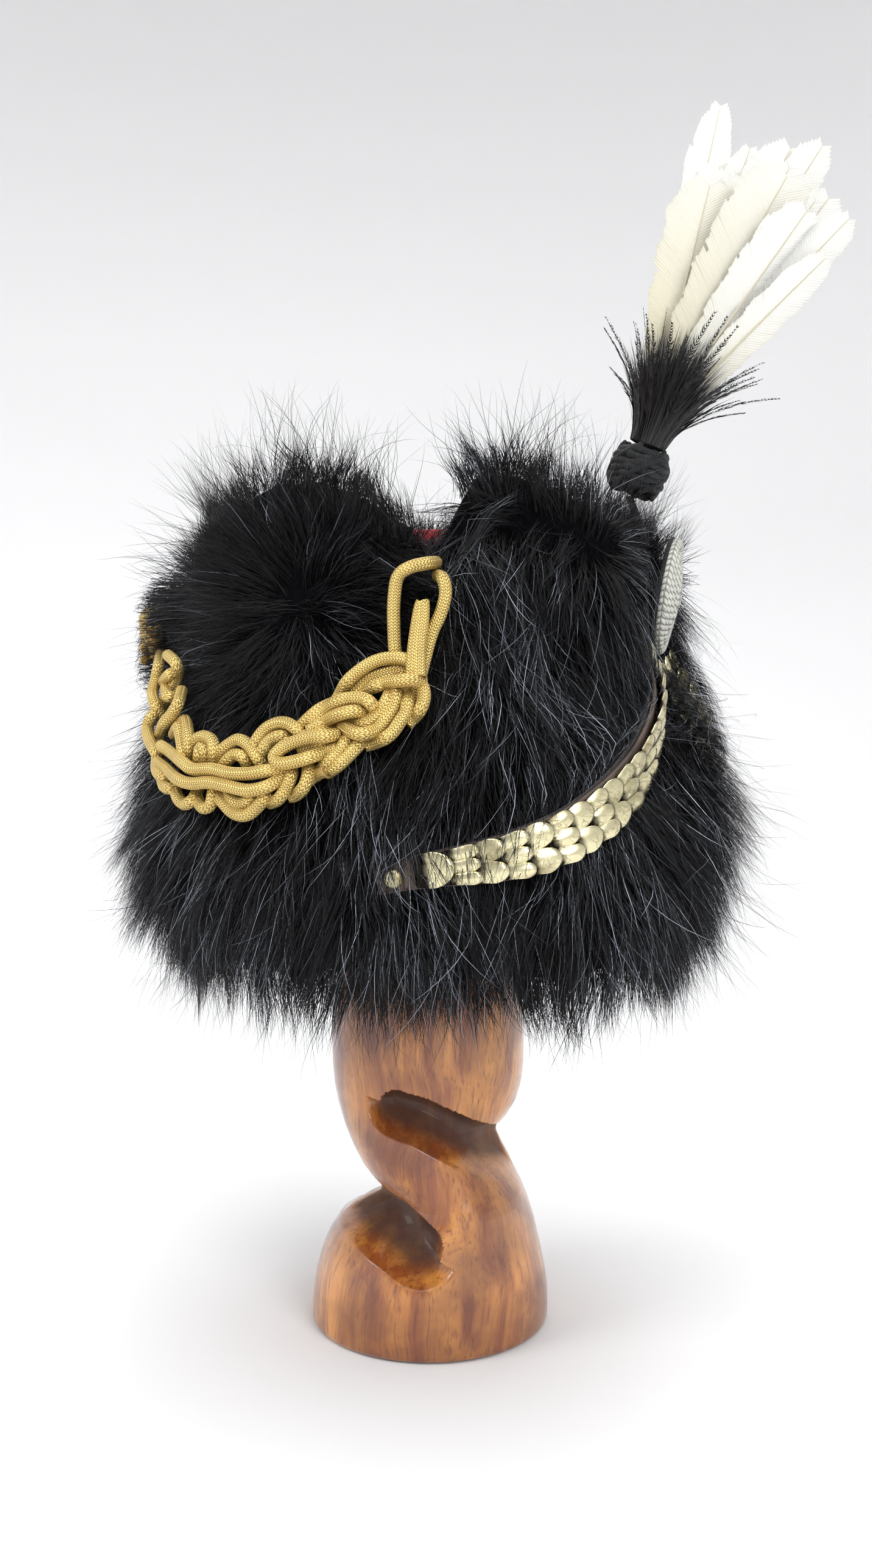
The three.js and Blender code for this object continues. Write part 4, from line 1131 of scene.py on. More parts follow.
@dataclass(frozen=True)
class FurForm:
    """The dense outline of the fur coat, from the same sizes as its solid."""

    heights: Numbers = (152, 160, 180, 211, 243, 274, 305, 326, 337)
    half_lengths: Numbers = (121, 128, 134, 133, 125, 115, 115, 113, 104)
    half_widths: Numbers = (105, 112, 118, 117, 109, 99, 99, 97, 88)
    hollow_heights: Numbers = (150, 244, 258, 272, 310, 337)
    hollow_depths: Numbers = (0, 0, 12, 16, 15, 8)
    hollow_turn: float = 27.0
    wave_turns: Numbers = (0, 18, 32, 48, 57, 62, 67, 72, 80, 96, 112, 135, 180)
    wave_rises: Numbers = (-13, -11, -3, 4, 4, -6, -25, -20, -9, 5, 7, 0, 3)
    wave_floor: float = 296.0
    rim: float = 337.0
    shell_floor: float = 165.0
    shell_top: float = 319.0
    shell_low: float = 103.0
    shell_high: float = 89.0
    shell_ratio: float = 0.832

    def point(self, turn: Array, height: Array, lift: Array | float = 0.0) -> Array:
        """Places on the coat.

        Args:
            turn: Turns in degrees.
            height: Heights before the rim's wave.
            lift: How far off the dense fur.

        Returns:
            One point for each turn.
        """
        turn = np.asarray(turn, float)
        height = np.asarray(height, float)
        angle = np.radians(turn)
        length = np.interp(height, self.heights, self.half_lengths) + lift
        width = np.interp(height, self.heights, self.half_widths) + lift
        from_front = np.abs(signed(turn))
        share = np.maximum(0, 1 - from_front / self.hollow_turn)
        hollow = np.interp(height, self.hollow_heights, self.hollow_depths) * share
        reach = 1 - hollow / length
        near_rim = ramp_up(height, self.wave_floor, self.rim - self.wave_floor)
        rise = np.interp(from_front, self.wave_turns, self.wave_rises)
        return stack(length * reach * np.cos(angle),
                -width * reach * np.sin(angle),
                height + near_rim * rise,)

    def outward(self, turn: Array, height: Array) -> Array:
        """The way straight out of the coat.

        Args:
            turn: Turns in degrees.
            height: Heights before the rim's wave.

        Returns:
            One direction for each turn.
        """
        around = self.point(turn - 2, height) - self.point(turn + 2, height)
        upward = self.point(turn, height + 2) - self.point(turn, height - 2)
        return unit(np.cross(around, upward))

    def on_shell(self, turn: Array, height: float, margin: float) -> Array:
        """A ring round the cap's shell.

        Args:
            turn: Turns in degrees.
            height: The ring's height.
            margin: How far outside the shell.

        Returns:
            One point for each turn.
        """
        angle = np.radians(turn)
        length = np.interp(height, (self.shell_floor, self.shell_top), (self.shell_low, self.shell_high))
        width = length * self.shell_ratio + margin
        across = [(length + margin) * np.cos(angle), -width * np.sin(angle), np.full(len(turn), height)]
        return np.stack(across, -1)

    def outside_shell(self, points: Array, margin: float) -> Array:
        """Moves points that are in the cap's shell out of it.

        Args:
            points: The points.
            margin: How far outside the shell they must be.

        Returns:
            The points, moved where they had to be.
        """
        share = ramp_up(points[..., 2], self.shell_floor, self.shell_top - self.shell_floor)
        length = self.shell_low + (self.shell_high - self.shell_low) * share + margin
        width = length * self.shell_ratio + margin * (1 - self.shell_ratio)
        reach = np.sqrt((points[..., 0] / length) ** 2 + (points[..., 1] / width) ** 2)
        below_crown = points[..., 2] < self.shell_top + 3
        scale = np.where((reach < 1) & below_crown, 1 / np.maximum(reach, 1e-3), 1.0)
        moved = points.copy()
        moved[..., 0] *= scale
        moved[..., 1] *= scale
        return moved


@dataclass
class Furrow:
    """Something that lies on the coat and presses the hair down: a strap, plait or boss."""

    place: Array
    out: Array
    across: Array
    half: Array
    floor: float
    slopes: Array
    rims: Array
    reach: float = 45.0
    draped: Array | None = None
    from_both_sides: bool = False
    cover: float = 6.6

    @staticmethod
    def even(path: Path, half: Array, floor: float, slope: float, reach: float) -> "Furrow":
        """A furrow with the same slope on both sides.

        Args:
            path: The piece's middle line.
            half: Its half width at each place.
            floor: How deep the hair lies under it.
            slope: How steeply the hair rises beside it.
            reach: How far away it still presses.

        Returns:
            The furrow.
        """
        count = len(path.place)
        slopes = np.full((count, 2), slope)
        return Furrow(path.place, path.out, path.across, half, floor, slopes, np.full((count, 2), 0.8), reach)

    def _measure(self, points: Array) -> tuple[Array, Array, Array, Array]:
        """Where points lie beside the piece.

        Args:
            points: The points.

        Returns:
            The nearest place, how far sideways and how far out of it, and how far past its edge.
        """
        apart = np.sum(points**2, 1)[:, None] - 2 * points @ self.place.T + np.sum(self.place**2, 1)
        nearest = np.argmin(apart, axis=1)
        offset = points - self.place[nearest]
        sideways = np.sum(offset * self.across[nearest], 1)
        upward = np.sum(offset * self.out[nearest], 1)
        flat = self.across[nearest] * sideways[:, None] + self.out[nearest] * upward[:, None]
        forward = np.linalg.norm(offset - flat, axis=1)
        beyond = np.maximum(np.abs(sideways) - self.half[nearest] - 1.0, forward - 3.0)
        return nearest, sideways, upward, beyond

    def _laid_over(self, hairs: Array, free: Array) -> Array:
        """Lifts some hairs so that they hang over the piece.

        Args:
            hairs: One row of points for each hair.
            free: Which of them hang over it.

        Returns:
            The hairs.
        """
        chosen = hairs[free]
        if not len(chosen):
            return hairs
        flat = chosen.reshape(-1, 3)
        nearest, _, upward, beyond = self._measure(flat)
        lay = np.random.default_rng(len(chosen)).uniform(0.62, 1.2, len(chosen))
        lay = lay[:, None] * np.linspace(0.8, 1.25, hairs.shape[1])
        limit = self.cover * lay.ravel() - 0.8 * np.maximum(beyond - 1, 0)
        under = np.where(beyond < 9, np.maximum(limit - upward, 0), 0)
        weight = np.tile(np.clip(np.linspace(0, 1, hairs.shape[1]) * 2.4, 0, 1), len(chosen))
        lifted = flat + self.out[nearest] * (under * weight)[:, None]
        hairs = hairs.copy()
        hairs[free] = lifted.reshape(chosen.shape)
        return hairs

    def press(self, points: Array, depth: float, rooted: bool) -> Array:
        """Presses points under the piece and down to the slopes beside it.

        Args:
            points: Rows of points.
            depth: How much lower than the slopes they must be.
            rooted: Whether each row is a hair that may hang over the piece.

        Returns:
            The pressed points.
        """
        held = np.ones(len(points.reshape(-1, 3)), bool)
        if rooted and self.draped is not None:
            nearest, sideways, _, beyond = self._measure(points[:, 0])
            chance = np.random.default_rng(len(points)).uniform(0, 1, len(points))
            free = (chance < self.draped[nearest]) & (beyond < 32)
            free &= ((beyond > 0) & (sideways < 0)) | self.from_both_sides
            held = np.repeat(~free, points.shape[1])
            points = self._laid_over(points, free)
        flat = points.reshape(-1, 3).copy()
        low = self.place.min(0) - self.reach
        high = self.place.max(0) + self.reach
        near = np.flatnonzero(held & np.all((flat > low) & (flat < high), axis=1))
        for start in range(0, len(near), 40000):
            rows = near[start : start + 40000]
            nearest, sideways, upward, beyond = self._measure(flat[rows])
            side = (sideways > 0).astype(int)
            past = np.maximum(beyond, 0)
            beside = self.rims[nearest, side] + self.slopes[nearest, side] * past
            beside = np.where(past < 1.5, np.minimum(beside, self.floor + 2 * past), beside)
            limit = np.where(beyond <= 0, self.floor, beside) - depth
            over = np.maximum(upward - limit, 0)
            over[beyond > self.reach] = 0
            flat[rows] -= self.out[nearest] * over[:, None]
        return flat.reshape(points.shape)


class Kind(IntEnum):
    """Where a lock starts."""

    COAT = 0
    RIM = 1
    INNER_RIM = 2
    HEM = 3


@dataclass
class Lay:
    """How locks lie on the coat: which way, how far off it and how long, worked out in steps."""

    coat: "FurCoat"
    turn: Array
    height: Array
    kind: Array
    rng: np.random.Generator

    def __post_init__(self) -> None:
        """Finds the ways out, round and down where each lock starts."""
        self.count = len(self.turn)
        self.from_front = np.abs(signed(self.turn))
        self.out = self.coat.form.outward(self.turn, self.height)
        around = unit(np.cross(np.array([0.0, 0.0, 1.0]), self.out))
        angle = np.radians(self.turn)
        growing = stack(-np.sin(angle), -np.cos(angle), 0 * angle)
        self.around = around * np.where(np.sum(around * growing, 1) > 0, 1.0, -1.0)[:, None]
        down = unit(np.cross(self.out, self.around))
        self.down = down * np.where(down[:, 2] < 0, 1.0, -1.0)[:, None]
        self.notch = self.coat.in_notch(self.turn) * (self.height > 292)

    def _ripple(self, seed: float) -> Array:
        """The coat's wave of one seed at each lock."""
        return ripple(self.turn, self.height, seed)

    def comb(self) -> None:
        """Combs the hair down in wandering strokes, shorter towards the hem."""
        swirl = np.radians(24 * self._ripple(2.2) + self.rng.normal(0, 8, self.count))
        self.flow = self.down * np.cos(swirl)[:, None] + self.around * np.sin(swirl)[:, None]
        self.lift = 0.38 + 0.12 * self._ripple(5.5) + self.rng.normal(0, 0.05, self.count)
        self.length = 36 + 5 * self._ripple(7.1) + self.rng.normal(0, 3, self.count)
        self.length = self.length - ramp_down(self.height, 196, 34) * 13

    def spread_lobe(self) -> None:
        """Spreads the rear lobe's hair out from the lobe's middle."""
        sideways = (self.from_front - self.coat.lobe_turn) * 1.9
        upward = self.height - self.coat.lobe_height
        distance = np.maximum(np.hypot(sideways / 1.15, upward), 6)
        share = ramp_up(self.from_front, 66, 8) * ramp_up(self.height, 246, 26)
        share *= np.clip((205 - self.from_front) / 60, 0.35, 1)
        sign = np.where(signed(self.turn) > 0, 1.0, -1.0)
        radial = self.around * (sideways * sign / distance)[:, None]
        radial -= self.down * (upward / distance)[:, None]
        self.flow = unit(self.flow * (1 - share)[:, None] + unit(radial) * (1.25 * share)[:, None])
        self.lift = self.lift + 0.22 * share
        self.length = self.length - 10 * share

    def raise_top(self) -> Array:
        """Stands the hair below the rim up.

        Returns:
            The upright way at each lock, leaning a little to one side.
        """
        top = ramp_up(self.height, 306, 22) * (self.kind == Kind.COAT) * (1 - self.notch)
        lean = 0.55 * self._ripple(3.3) + 0.5 * ripple(self.turn * 3, self.height, 1.3)
        lean = lean + self.rng.normal(0, 0.25, self.count)
        upright = unit(-self.down + self.around * lean[:, None])
        self.flow = unit(self.flow * (1 - 0.85 * top)[:, None] + upright * (0.85 * top)[:, None])
        self.lift = self.lift + 0.2 * top
        self.length = self.length - 16 * top
        return upright

    def set_edges(self, upright: Array) -> None:
        """Lays the locks of the rim, the inner rim and the hem.

        Args:
            upright: The upright way at each lock.
        """
        rim, inner, hem = (self.kind == kind for kind in (Kind.RIM, Kind.INNER_RIM, Kind.HEM))
        over_rim = unit(upright * (1 - self.notch)[:, None] + self.down * self.notch[:, None])
        inward = unit(-self.out * np.array([1.0, 1.0, 0.0]) + np.array([0.0, 0.0, 0.9]))
        self.flow = np.where(inner[:, None], inward, np.where(rim[:, None], over_rim, self.flow))
        self.lift = np.where(rim, 0.7 + 0.3 * ripple(self.turn * 2, self.height, 5.1), self.lift)
        self.lift = np.where(inner, 0.1, self.lift)
        self.lift = np.where(hem, 0.34 + self.rng.normal(0, 0.12, self.count), self.lift)
        level = 0 * self.height
        tuft = 24 + 6 * ripple(self.turn, level, 4.4) + 4 * ripple(self.turn * 3, level, 2.9)
        for chosen, length, more in ((rim, 17, 6), (inner, 16, 5), (hem, tuft, 5)):
            length = length + self.rng.uniform(-4, more, self.count)
            self.length = np.where(chosen, length, self.length)

    def fit_front(self) -> Array:
        """Fits the hair round the boss, between the strap's halves, on the flank and in the notch.

        Returns:
            How far off the dense fur each lock starts.
        """
        on_left = ramp_up((self.turn + 180) % 360, 172, 8)
        at_boss = np.clip(1 - self.from_front / 34, 0, 1) * ramp_up(self.height, 235, 30)
        at_boss = at_boss * ramp_down(self.height, 298, 12)
        between = np.clip(1.4 - self.from_front / 11, 0, 1) * ramp_up(self.height, 214, 16)
        between = between * ramp_down(self.height, 282, 10)
        flank = np.clip(1.5 - np.abs(signed(self.turn) + 36) / 30, 0, 1) * ramp_down(self.height, 322, 20)
        self.lift = self.lift + 0.15 * between
        self.length = (self.length + 2 * between) * (1 - 0.3 * flank)
        self.length = self.length * (1 - 0.42 * at_boss * on_left) * (1 - 0.6 * self.notch)
        deeper = np.where(self.kind == Kind.INNER_RIM, self.coat.root_lift - 11, self.coat.root_lift)
        start = deeper - self.coat.tuck(self.height)
        return start + 3 * between - 6.5 * flank * ramp_down(self.height, 262, 20)


@dataclass
class FurCoat:
    """The long fur: a dark under-coat and locks of hair that start in it."""

    form: FurForm
    furrows: list[Furrow]
    root_lift: float = -11.0
    under_lift: float = -10.0
    row_gap: float = 6.0
    lock_gap: float = 5.8
    hairs_per_lock: int = 19
    lock_radius: float = 5.2
    hair_width: float = 0.30
    segments: int = 4
    guard_width: float = 0.22
    guard_segments: int = 7
    lobe_turn: float = 98.0
    lobe_height: float = 292.0
    notch_turn: float = 67.0
    notch_half: float = 8.0
    side_limit: float = 143.0
    rear_limit: float = 158.0

    def build(self, wardrobe: Wardrobe) -> None:
        """Builds the under-coat and the hair.

        Args:
            wardrobe: The materials.
        """
        under = self._under_coat()
        dress(under, wardrobe.under_fur, ["fur_cover"])
        turn, height, kind = self._lock_places()
        hairs, outward, owners, tones = self._grow(turn, height, kind)
        quarter = ((turn[owners] + 360) % 360 // 90).astype(int)
        for number, where in enumerate(("front_right", "rear_right", "rear_left", "front_left")):
            chosen = quarter == number
            strands = Strands(self.hair_width, 40 + number)
            heap = strands.ribbons(hairs[chosen], outward[chosen], tones[chosen])
            dress(heap.piece(f"fur_locks_{where}"), wardrobe.fur)
        guards, facing, tones = self._guard_hairs()
        heap = Strands(self.guard_width, 71).ribbons(guards, facing, tones)
        dress(heap.piece("fur_guard_hairs"), wardrobe.fur)

    def _under_coat(self) -> Piece:
        """The closed dark mass that the hairs start in, outside the shell and over its crown.

        Returns:
            The object.
        """
        columns = 240
        turn = np.linspace(0, 360, columns, endpoint=False)
        rows = []
        for height in np.linspace(154, 334, 52):
            level = np.full(columns, height)
            lump = 1.6 * ripple(turn, level, 1.7) + 1.0 * ripple(turn * 3, level * 2, 4.1)
            rows.append(self.form.point(turn, level, self.under_lift + lump - self.tuck(level)))
        crest = rows[-1]
        back = self.in_notch(turn)[:, None]
        beside_cloth = self.form.on_shell(turn, 320.0, 4.0)
        beside_cloth[:, 2] = np.minimum(322.9, crest[:, 2] - 3.0)
        for lift, rise in ((-16.0, 3.0), (-22.0, 2.0), (-24.0, -3.0), (-24.5, -8.0)):
            ring = self.form.point(turn, np.full(columns, 334.0), lift)
            ring[:, 2] = np.maximum(crest[:, 2] + rise, 323.2)
            rows.append(ring * (1 - back) + (0.6 * crest + 0.4 * beside_cloth) * back)
        rows.append(beside_cloth)
        rows += [self.form.on_shell(turn, height, 4.0) for height in (312.0, 303.5)]
        rows += [self.form.on_shell(turn, height, 1.0) for height in (301.0, 255.0, 210.0, 170.0)]
        for lift, rise in ((-14.0, 3.0), (-10.0, 0.0)):
            ring = self.form.point(turn, np.full(columns, 156.0), self.under_lift + lift)
            ring[:, 2] += rise
            rows.append(ring)
        rows = np.array(rows)
        low = ramp_down(rows[..., 2], 172, 16)
        rows[..., 2] += low * (3 + 2.2 * ripple(turn * 2, 0 * turn, 3.7))[None]
        rings = self._pressed(rows, 3.5, False)
        rings = self.form.outside_shell(rings, 0.8)
        beside = self.form.outside_shell(rings, 4.2)
        rings = np.where(rings[..., 2:] > 302, beside, rings)
        faces = tube_faces(len(rings), columns, True)[:, [0, 3, 2, 1]]
        return mesh_piece("fur_under_coat", rings.reshape(-1, 3), [faces])

    @staticmethod
    def tuck(height: Array) -> Array:
        """How far the coat is drawn in towards its lower edge."""
        return 12 * ramp_down(height, 212, 52)

    def in_notch(self, turn: Array) -> Array:
        """How far turns are inside the rim's notch, from 0 to 1."""
        from_front = np.abs(signed(turn))
        return np.clip(1.6 * (1 - np.abs(from_front - self.notch_turn) / self.notch_half), 0, 1)

    def _pressed(self, points: Array, depth: float, rooted: bool) -> Array:
        """Presses points under all that lies on the coat.

        Args:
            points: The points.
            depth: How much lower than the hair's own limit.
            rooted: Whether each row is a hair.

        Returns:
            The pressed points.
        """
        for furrow in self.furrows:
            points = furrow.press(points, depth, rooted)
        return points

    def _within(self, hairs: Array) -> Array:
        """Shortens the hairs that reach past the coat's farthest sides.

        Args:
            hairs: One row of points for each hair.

        Returns:
            The same hairs, inside the limits.
        """
        root = hairs[:, :1]
        shrink = np.ones(len(hairs))
        limits = ((1, 1, self.side_limit), (1, -1, self.side_limit), (0, -1, self.rear_limit))
        for axis, sign, limit in limits:
            farthest = (hairs[..., axis] * sign).max(1)
            start = root[:, 0, axis] * sign
            room = (limit - start) / np.maximum(farthest - start, 1e-3)
            shrink = np.where(farthest > limit, np.minimum(shrink, room), shrink)
        return root + (hairs - root) * shrink[:, None, None]

    def _lock_places(self) -> tuple[Array, Array, Array]:
        """Where each lock starts.

        Returns:
            The turn, the height and the kind of each lock.
        """
        rng = np.random.default_rng(12)
        turns = []
        heights = []
        kinds = []
        rows = [(float(height), Kind.COAT) for height in np.arange(162, 331, self.row_gap)]
        rows += [(height, Kind.RIM) for height in (331.0, 334.0, 337.0)]
        rows += [(height, Kind.INNER_RIM) for height in (334.0, 337.0)]
        rows += [(height, Kind.HEM) for height in (157.0, 160.0)]
        for number, (height, kind) in enumerate(rows):
            length = np.interp(height, self.form.heights, self.form.half_lengths)
            count = int(2 * math.pi * length * 0.93 / self.lock_gap)
            start = (number * 0.5 % 1) * 360 / count
            turn = np.linspace(0, 360, count, endpoint=False) + start
            turns.append(turn + rng.uniform(-1.5, 1.5, count))
            heights.append(height + rng.uniform(-2.8, 2.8, count))
            kinds.append(np.full(count, kind))
        turn = np.concatenate(turns)
        height = np.concatenate(heights)
        kind = np.concatenate(kinds)
        kept = (kind != Kind.INNER_RIM) | (self.in_notch(turn) == 0)
        return turn[kept], height[kept], kind[kept]

    def _painted_highlight_tones(self, turn: Array, height: Array, rng: np.random.Generator) -> Array:
        """How much painted highlight each hair carries in its colour: more down the front and the skirt than
        on the rear lobe.

        Args:
            turn: Each hair's turn.
            height: Each hair's height.
            rng: The source of chance.

        Returns:
            A number between 0 and 1 for each hair.
        """
        from_front = np.abs(signed(turn))
        in_lobe = ramp_up(from_front, 66, 8) * ramp_up(height, 240, 30)
        # Painted highlight: brighter patches in a wave over the coat, with fewer on the rear lobe.
        highlight_patch = 0.40 + 0.16 * ripple(turn * 2, height * 0.6, 6.3) - 0.16 * in_lobe
        return np.clip(highlight_patch + rng.normal(0, 0.21, len(turn)), 0, 1)

    def _flow(
        self, turn: Array, height: Array, kind: Array, rng: np.random.Generator
    ) -> tuple[Array, Array, Array, Array, Array]:
        """How the locks lie.

        Args:
            turn: Each lock's turn.
            height: Each lock's height.
            kind: Each lock's kind.
            rng: The source of chance.

        Returns:
            Its root, the way out, its first and its last direction, and its length.
        """
        lay = Lay(self, turn, height, kind, rng)
        lay.comb()
        lay.spread_lobe()
        lay.set_edges(lay.raise_top())
        root_lift = lay.fit_front()
        first = unit(lay.out * (lay.lift + 0.25)[:, None] + lay.flow * 0.75)
        last = unit(lay.out * (lay.lift - 0.22)[:, None] + lay.flow + np.array([0.0, 0.0, -0.22]))
        return self.form.point(turn, height, root_lift), lay.out, first, last, lay.length

    def _grow(self, turn: Array, height: Array, kind: Array) -> tuple[Array, Array, Array, Array]:
        """Grows every lock's hairs.

        Args:
            turn: Each lock's turn.
            height: Each lock's height.
            kind: Each lock's kind.

        Returns:
            The hairs, the way each faces, the lock that each belongs to and its tone.
        """
        rng = np.random.default_rng(31)
        root, out, first, last, length = self._flow(turn, height, kind, rng)
        side = unit(np.cross(first, out))
        wave = stack(rng.uniform(0.5, 2.6, len(turn)),
                rng.uniform(0.5, 1.1, len(turn)),
                rng.uniform(0, 1, len(turn)),)
        guide_steps = 12
        guides = bent_hairs(root, first, last, length, guide_steps, wave, side)
        per_lock = self.hairs_per_lock
        owners = np.repeat(np.arange(len(turn)), per_lock)
        count = len(owners)
        share = np.linspace(0, 1, self.segments + 1)
        reach = rng.uniform(0.62, 1.08, count)
        reach[rng.uniform(0, 1, count) < 0.06] *= 1.16
        place = np.clip(share[None, :] * reach[:, None], 0, 1.25) * guide_steps
        low = np.minimum(place.astype(int), guide_steps - 1)
        part = (place - low)[..., None]
        lines = guides[owners]
        rows = np.arange(count)[:, None]
        hairs = lines[rows, low] * (1 - part) + lines[rows, low + 1] * part
        angle = rng.uniform(0, 2 * math.pi, count)
        radius = self.lock_radius * np.sqrt(rng.uniform(0, 1, count))
        up = unit(np.cross(side, out))[owners]
        sideways = side[owners]
        shift = sideways * (radius * np.cos(angle))[:, None] + up * (radius * np.sin(angle))[:, None]
        clump = (0.45 + 0.35 * ripple(turn, height, 8.8) + rng.uniform(-0.2, 0.2, len(turn))).clip(0, 0.92)
        gather = 1 - clump[owners][:, None, None] * share[None, :, None] ** 0.75
        hairs = hairs + shift[:, None] * gather
        loose = sideways * rng.normal(0, 1, count)[:, None] + out[owners] * rng.normal(0, 1, count)[:, None]
        spread = length[owners] * np.where(rng.uniform(0, 1, count) < 0.2, 0.16, 0.06)
        hairs = hairs + loose[:, None] * (spread[:, None] * share[None, :] ** 1.5)[..., None]
        hairs = self._pressed(hairs, 0.0, True)
        hairs = self._within(self.form.outside_shell(hairs, 0.6))
        return hairs, out[owners], owners, self._painted_highlight_tones(turn[owners], height[owners], rng)

    def _guard_hairs(self) -> tuple[Array, Array, Array]:
        """Long single hairs that stand out of the coat, the rim and the hem.

        Returns:
            The hairs, the way each faces and its tone.
        """
        rng = np.random.default_rng(57)
        parts = [
            (5200, (165, 318), Kind.COAT, 50.0, 0.16), (1600, (170, 320), Kind.COAT, 52.0, 0.8),
            (1300, (332, 338), Kind.RIM, 46.0, 0.5), (900, (153, 165), Kind.HEM, 40.0, 0.5)
        ]
        turns = []
        heights = []
        kinds = []
        for count, (low, high), kind, _, _ in parts:
            turns.append(rng.uniform(0, 360, count))
            heights.append(rng.uniform(low, high, count))
            kinds.append(np.full(count, kind))
        turn = np.concatenate(turns)
        height = np.concatenate(heights)
        kind = np.concatenate(kinds)
        root, out, first, last, length = self._flow(turn, height, kind, rng)
        longer = np.repeat([row[3] for row in parts], [row[0] for row in parts])
        lifted = np.repeat([row[4] for row in parts], [row[0] for row in parts])
        count = len(turn)
        length = length * 0.3 + longer * rng.uniform(0.5, 1.15, count) * 0.72
        jitter = rng.normal(0, 0.18, (count, 3))
        first = unit(first + out * (lifted * 0.6)[:, None] + jitter)
        last = unit(last + out * (lifted * 0.5)[:, None] + rng.normal(0, 0.45, (count, 3)))
        side = unit(np.cross(first, out))
        wave = stack(rng.uniform(0, 5, count), rng.uniform(0.3, 0.7, count), rng.uniform(0, 1, count))
        hairs = bent_hairs(root, first, last, length, self.guard_segments, wave, side)
        hairs = self._pressed(hairs, 0.0, True)
        hairs = self._within(self.form.outside_shell(hairs, 0.6))
        # Guard hairs that lie close to the coat get more painted highlight.
        tones = np.where(lifted < 0.3, 0.30, 0.0) + self._painted_highlight_tones(turn, height, rng)
        return hairs, out, np.clip(tones, 0, 1)


# The chin strap


